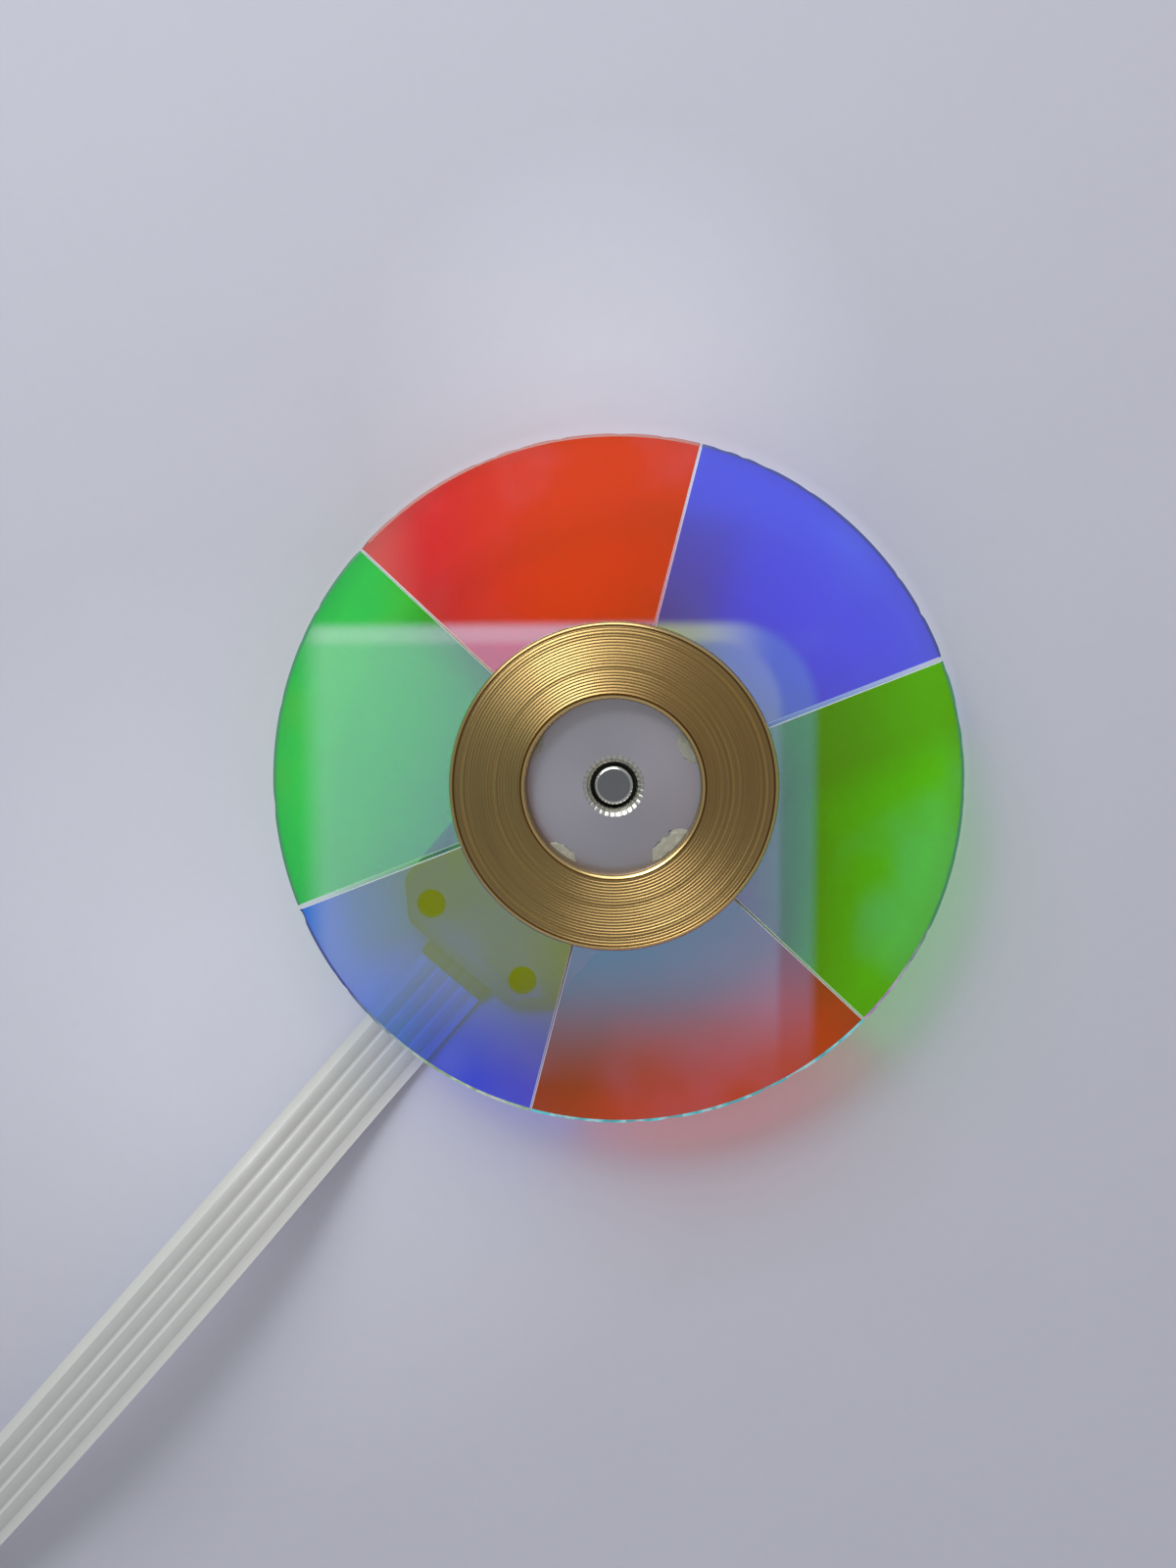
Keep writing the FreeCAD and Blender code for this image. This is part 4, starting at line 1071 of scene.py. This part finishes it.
# %% Finishes of the motor
# Each grained finish is a colour, then metallic, grain scale, tone change, lowest and highest
# roughness, and bump depth in metres.
MOTOR_FINISHES = {
    "zinc_plated_sheet": ((0.30, 0.295, 0.30), 0.7, 2500.0, 0.12, 0.35, 0.5, 0.000008),
    "sintered_bronze": ((0.42, 0.26, 0.13), 0.9, 9000.0, 0.3, 0.45, 0.65, 0.00002),
    "bonded_magnet": ((0.045, 0.045, 0.05), 0.2, 7000.0, 0.25, 0.5, 0.7, 0.00001),
    "matt_black_mark": ((0.012, 0.012, 0.012), 0.0, 4000.0, 0.2, 0.6, 0.8, 0.000004),
    "natural_nylon": ((0.78, 0.76, 0.70), 0.0, 3000.0, 0.04, 0.35, 0.5, 0.000004),
    "dark_thrust_plastic": ((0.03, 0.028, 0.026), 0.0, 3000.0, 0.1, 0.3, 0.45, 0.000004),
    "moulded_insulator": ((0.72, 0.72, 0.68), 0.0, 3500.0, 0.04, 0.4, 0.55, 0.000006),
    "enamelled_copper": ((0.66, 0.22, 0.06), 0.75, 2500.0, 0.12, 0.2, 0.35, 0.000004),
}
finish = {name: grained(name, *settings) for name, settings in MOTOR_FINISHES.items()}
finish["holder_brass"] = turned_metal("holder_brass", (0.68, 0.52, 0.26), 0.3, 0.00008, 2.0, 0.1, 0.000006)
finish["stacked_steel_sheets"] = striped(
    "stacked_steel_sheets", (0.24, 0.25, 0.27), 0.9, 0.45, "Z", 0.00036, 0.78, 0.25, 0.00003
)
finish["amber_circuit_film"] = striped(
    "amber_circuit_film", (0.40, 0.30, 0.20), 0.15, 0.36, "X", 0.00125, 0.60, 0.85, 0.00001
)
finish["tinned_copper"] = tinned
adjust(finish["enamelled_copper"], Coat_Weight=0.5)
adjust(finish["amber_circuit_film"], Coat_Weight=0.3)
print("motor finishes:", len(finish))

# %% Drawn cup
nickel = turned_metal("nickel_plated_cup", (0.60, 0.60, 0.60), 0.28, 0.0001, 1.0, 0.06, 0.000003)
cup_profile = [
    (4.0, 6.2),
    (11.3, 6.2),
    (11.5, 6.0),
    (11.5, 2.2),
    (11.6, 2.1),
    (12.3, 2.1),
    (12.4, 2.2),
    (12.4, 6.7),
    (12.3, 7.0),
    (12.12, 7.14),
    (11.9, 7.2),
    (4.0, 7.2),
]
as_piece("drawn_cup", turned(cup_profile), [nickel], "rotor", ["rotor_cup"])

# %% [markdown]
# ## Wound coils
# Each of the nine teeth carries a coil of fine enamelled wire. A coil is a tube round its
# tooth: its outside rises and falls with every turn of wire, and its inside is the smooth
# window that the tooth fills. Its sections are drawn one after another along the tooth and
# joined by faces, and the last one is joined to the first.

# %% Sections of a coil
COIL_WIDTH = 3.6
COIL_HEIGHT = 3.6
COIL_ROUNDING = 0.65
COIL_WINDOW = (2.1, 2.3)
WINDOW_ROUNDING = 0.1
COIL_START = 5.1
COIL_END = 8.3
COIL_MIDDLE_Z = 3.9
WIRE = 0.2
WIRE_SHAPE = ((0.0, 0.07), (0.2, 0.02), (0.5, 0.0), (0.8, 0.02))
TOOTH_COUNT = 9
FIRST_TOOTH = -90.0


def rounded_rectangle(width, height, radius, steps=5):
    """Corners of a rectangle with round corners, as (across, up) pairs."""
    points = []
    for quarter, (side, level) in enumerate(((1, 1), (-1, 1), (-1, -1), (1, -1))):
        for step in range(steps + 1):
            angle = math.radians(90.0 * (quarter + step / steps))
            across = side * (width / 2 - radius) + radius * math.cos(angle)
            points.append((across, level * (height / 2 - radius) + radius * math.sin(angle)))
    return points


def coil_sections():
    """Sections of one coil along its tooth: out over every turn of wire, and back through the window."""
    sections = []
    for turn_number in range(round((COIL_END - COIL_START) / WIRE)):
        for share, inset in WIRE_SHAPE:
            outline = rounded_rectangle(COIL_WIDTH - 2 * inset, COIL_HEIGHT - 2 * inset, COIL_ROUNDING)
            sections.append((COIL_START + (turn_number + share) * WIRE, outline))
    last_inset = WIRE_SHAPE[0][1]
    outline = rounded_rectangle(COIL_WIDTH - 2 * last_inset, COIL_HEIGHT - 2 * last_inset, COIL_ROUNDING)
    sections.append((COIL_END, outline))
    for along in (COIL_END, COIL_START):
        sections.append((along, rounded_rectangle(*COIL_WINDOW, WINDOW_ROUNDING)))
    return sections


print("a coil has", len(coil_sections()), "sections")

# %% Wind the coils


def wind_coil(bm, tooth_angle):
    """Adds one wound coil, a closed tube that goes round its tooth."""
    turn_to_tooth = Matrix.Rotation(math.radians(tooth_angle), 4, "Z")
    rings = []
    for along, outline in coil_sections():
        places = [Vector((along * MM, across * MM, (COIL_MIDDLE_Z + up) * MM)) for across, up in outline]
        rings.append([bm.verts.new(turn_to_tooth @ place) for place in places])
    for ring_before, ring_after in zip(rings, rings[1:] + rings[:1]):
        for index, before in enumerate(ring_before):
            following = (index + 1) % len(ring_before)
            bm.faces.new((before, ring_before[following], ring_after[following], ring_after[index]))


for phase_number, phase in enumerate("uvw"):
    bm = bmesh.new()
    for tooth in range(phase_number, TOOTH_COUNT, 3):
        wind_coil(bm, FIRST_TOOTH + tooth * 360.0 / TOOTH_COUNT)
    bmesh.ops.recalc_face_normals(bm, faces=bm.faces)
    node = f"coils_phase_{phase}"
    coil_finish = [finish["enamelled_copper"]]
    as_piece(f"wound_{node}", bm, coil_finish, "base", [node], hard_angle=60)

# %% Copied pieces
# Each row is a CAD piece, its body, the width of its broken edges, its finish and its slot.
DRESSED = [
    ("base_plate", "base", 0.10, "zinc_plated_sheet", "plate_steel"),
    ("bearing_holder", "base", 0.06, "holder_brass", "holder_brass"),
    ("sleeve_bearing", "base", 0.08, "sintered_bronze", "sintered_bronze"),
    ("thrust_pad", "base", 0.04, "dark_thrust_plastic", "thrust_plastic"),
    ("thrust_cap", "base", 0.04, "zinc_plated_sheet", "plate_steel"),
    ("rotor_magnet", "rotor", 0.10, "bonded_magnet", "magnet"),
    ("timing_mark", "rotor", 0.02, "matt_black_mark", "timing_black"),
    ("retaining_washer", "rotor", 0.03, "natural_nylon", "washer_plastic"),
    ("stator_core", "base", 0.04, "stacked_steel_sheets", "core_steel"),
    ("upper_insulator", "base", 0.05, "moulded_insulator", "insulator_plastic"),
    ("lower_insulator", "base", 0.05, "moulded_insulator", "insulator_plastic"),
    ("coil_leads", "base", 0.01, "enamelled_copper", "enamelled_copper"),
    ("solder_joints", "base", 0.05, "tinned_copper", "solder"),
    ("flex_circuit", "base", 0.02, "amber_circuit_film", "flex_film"),
]
for node, body, width, finish_name, slot_name in DRESSED:
    bm = break_edges(copy_of(node), width)
    as_piece(f"{node}_dressed", bm, [finish[finish_name]], body, [node])

# %% [markdown]
# ## Size and view
# The dressed wheel must keep the CAD model's size. The picture is shown through the Standard view transform.

# %% Standard view transform
bpy.context.scene.view_settings.view_transform = "Standard"
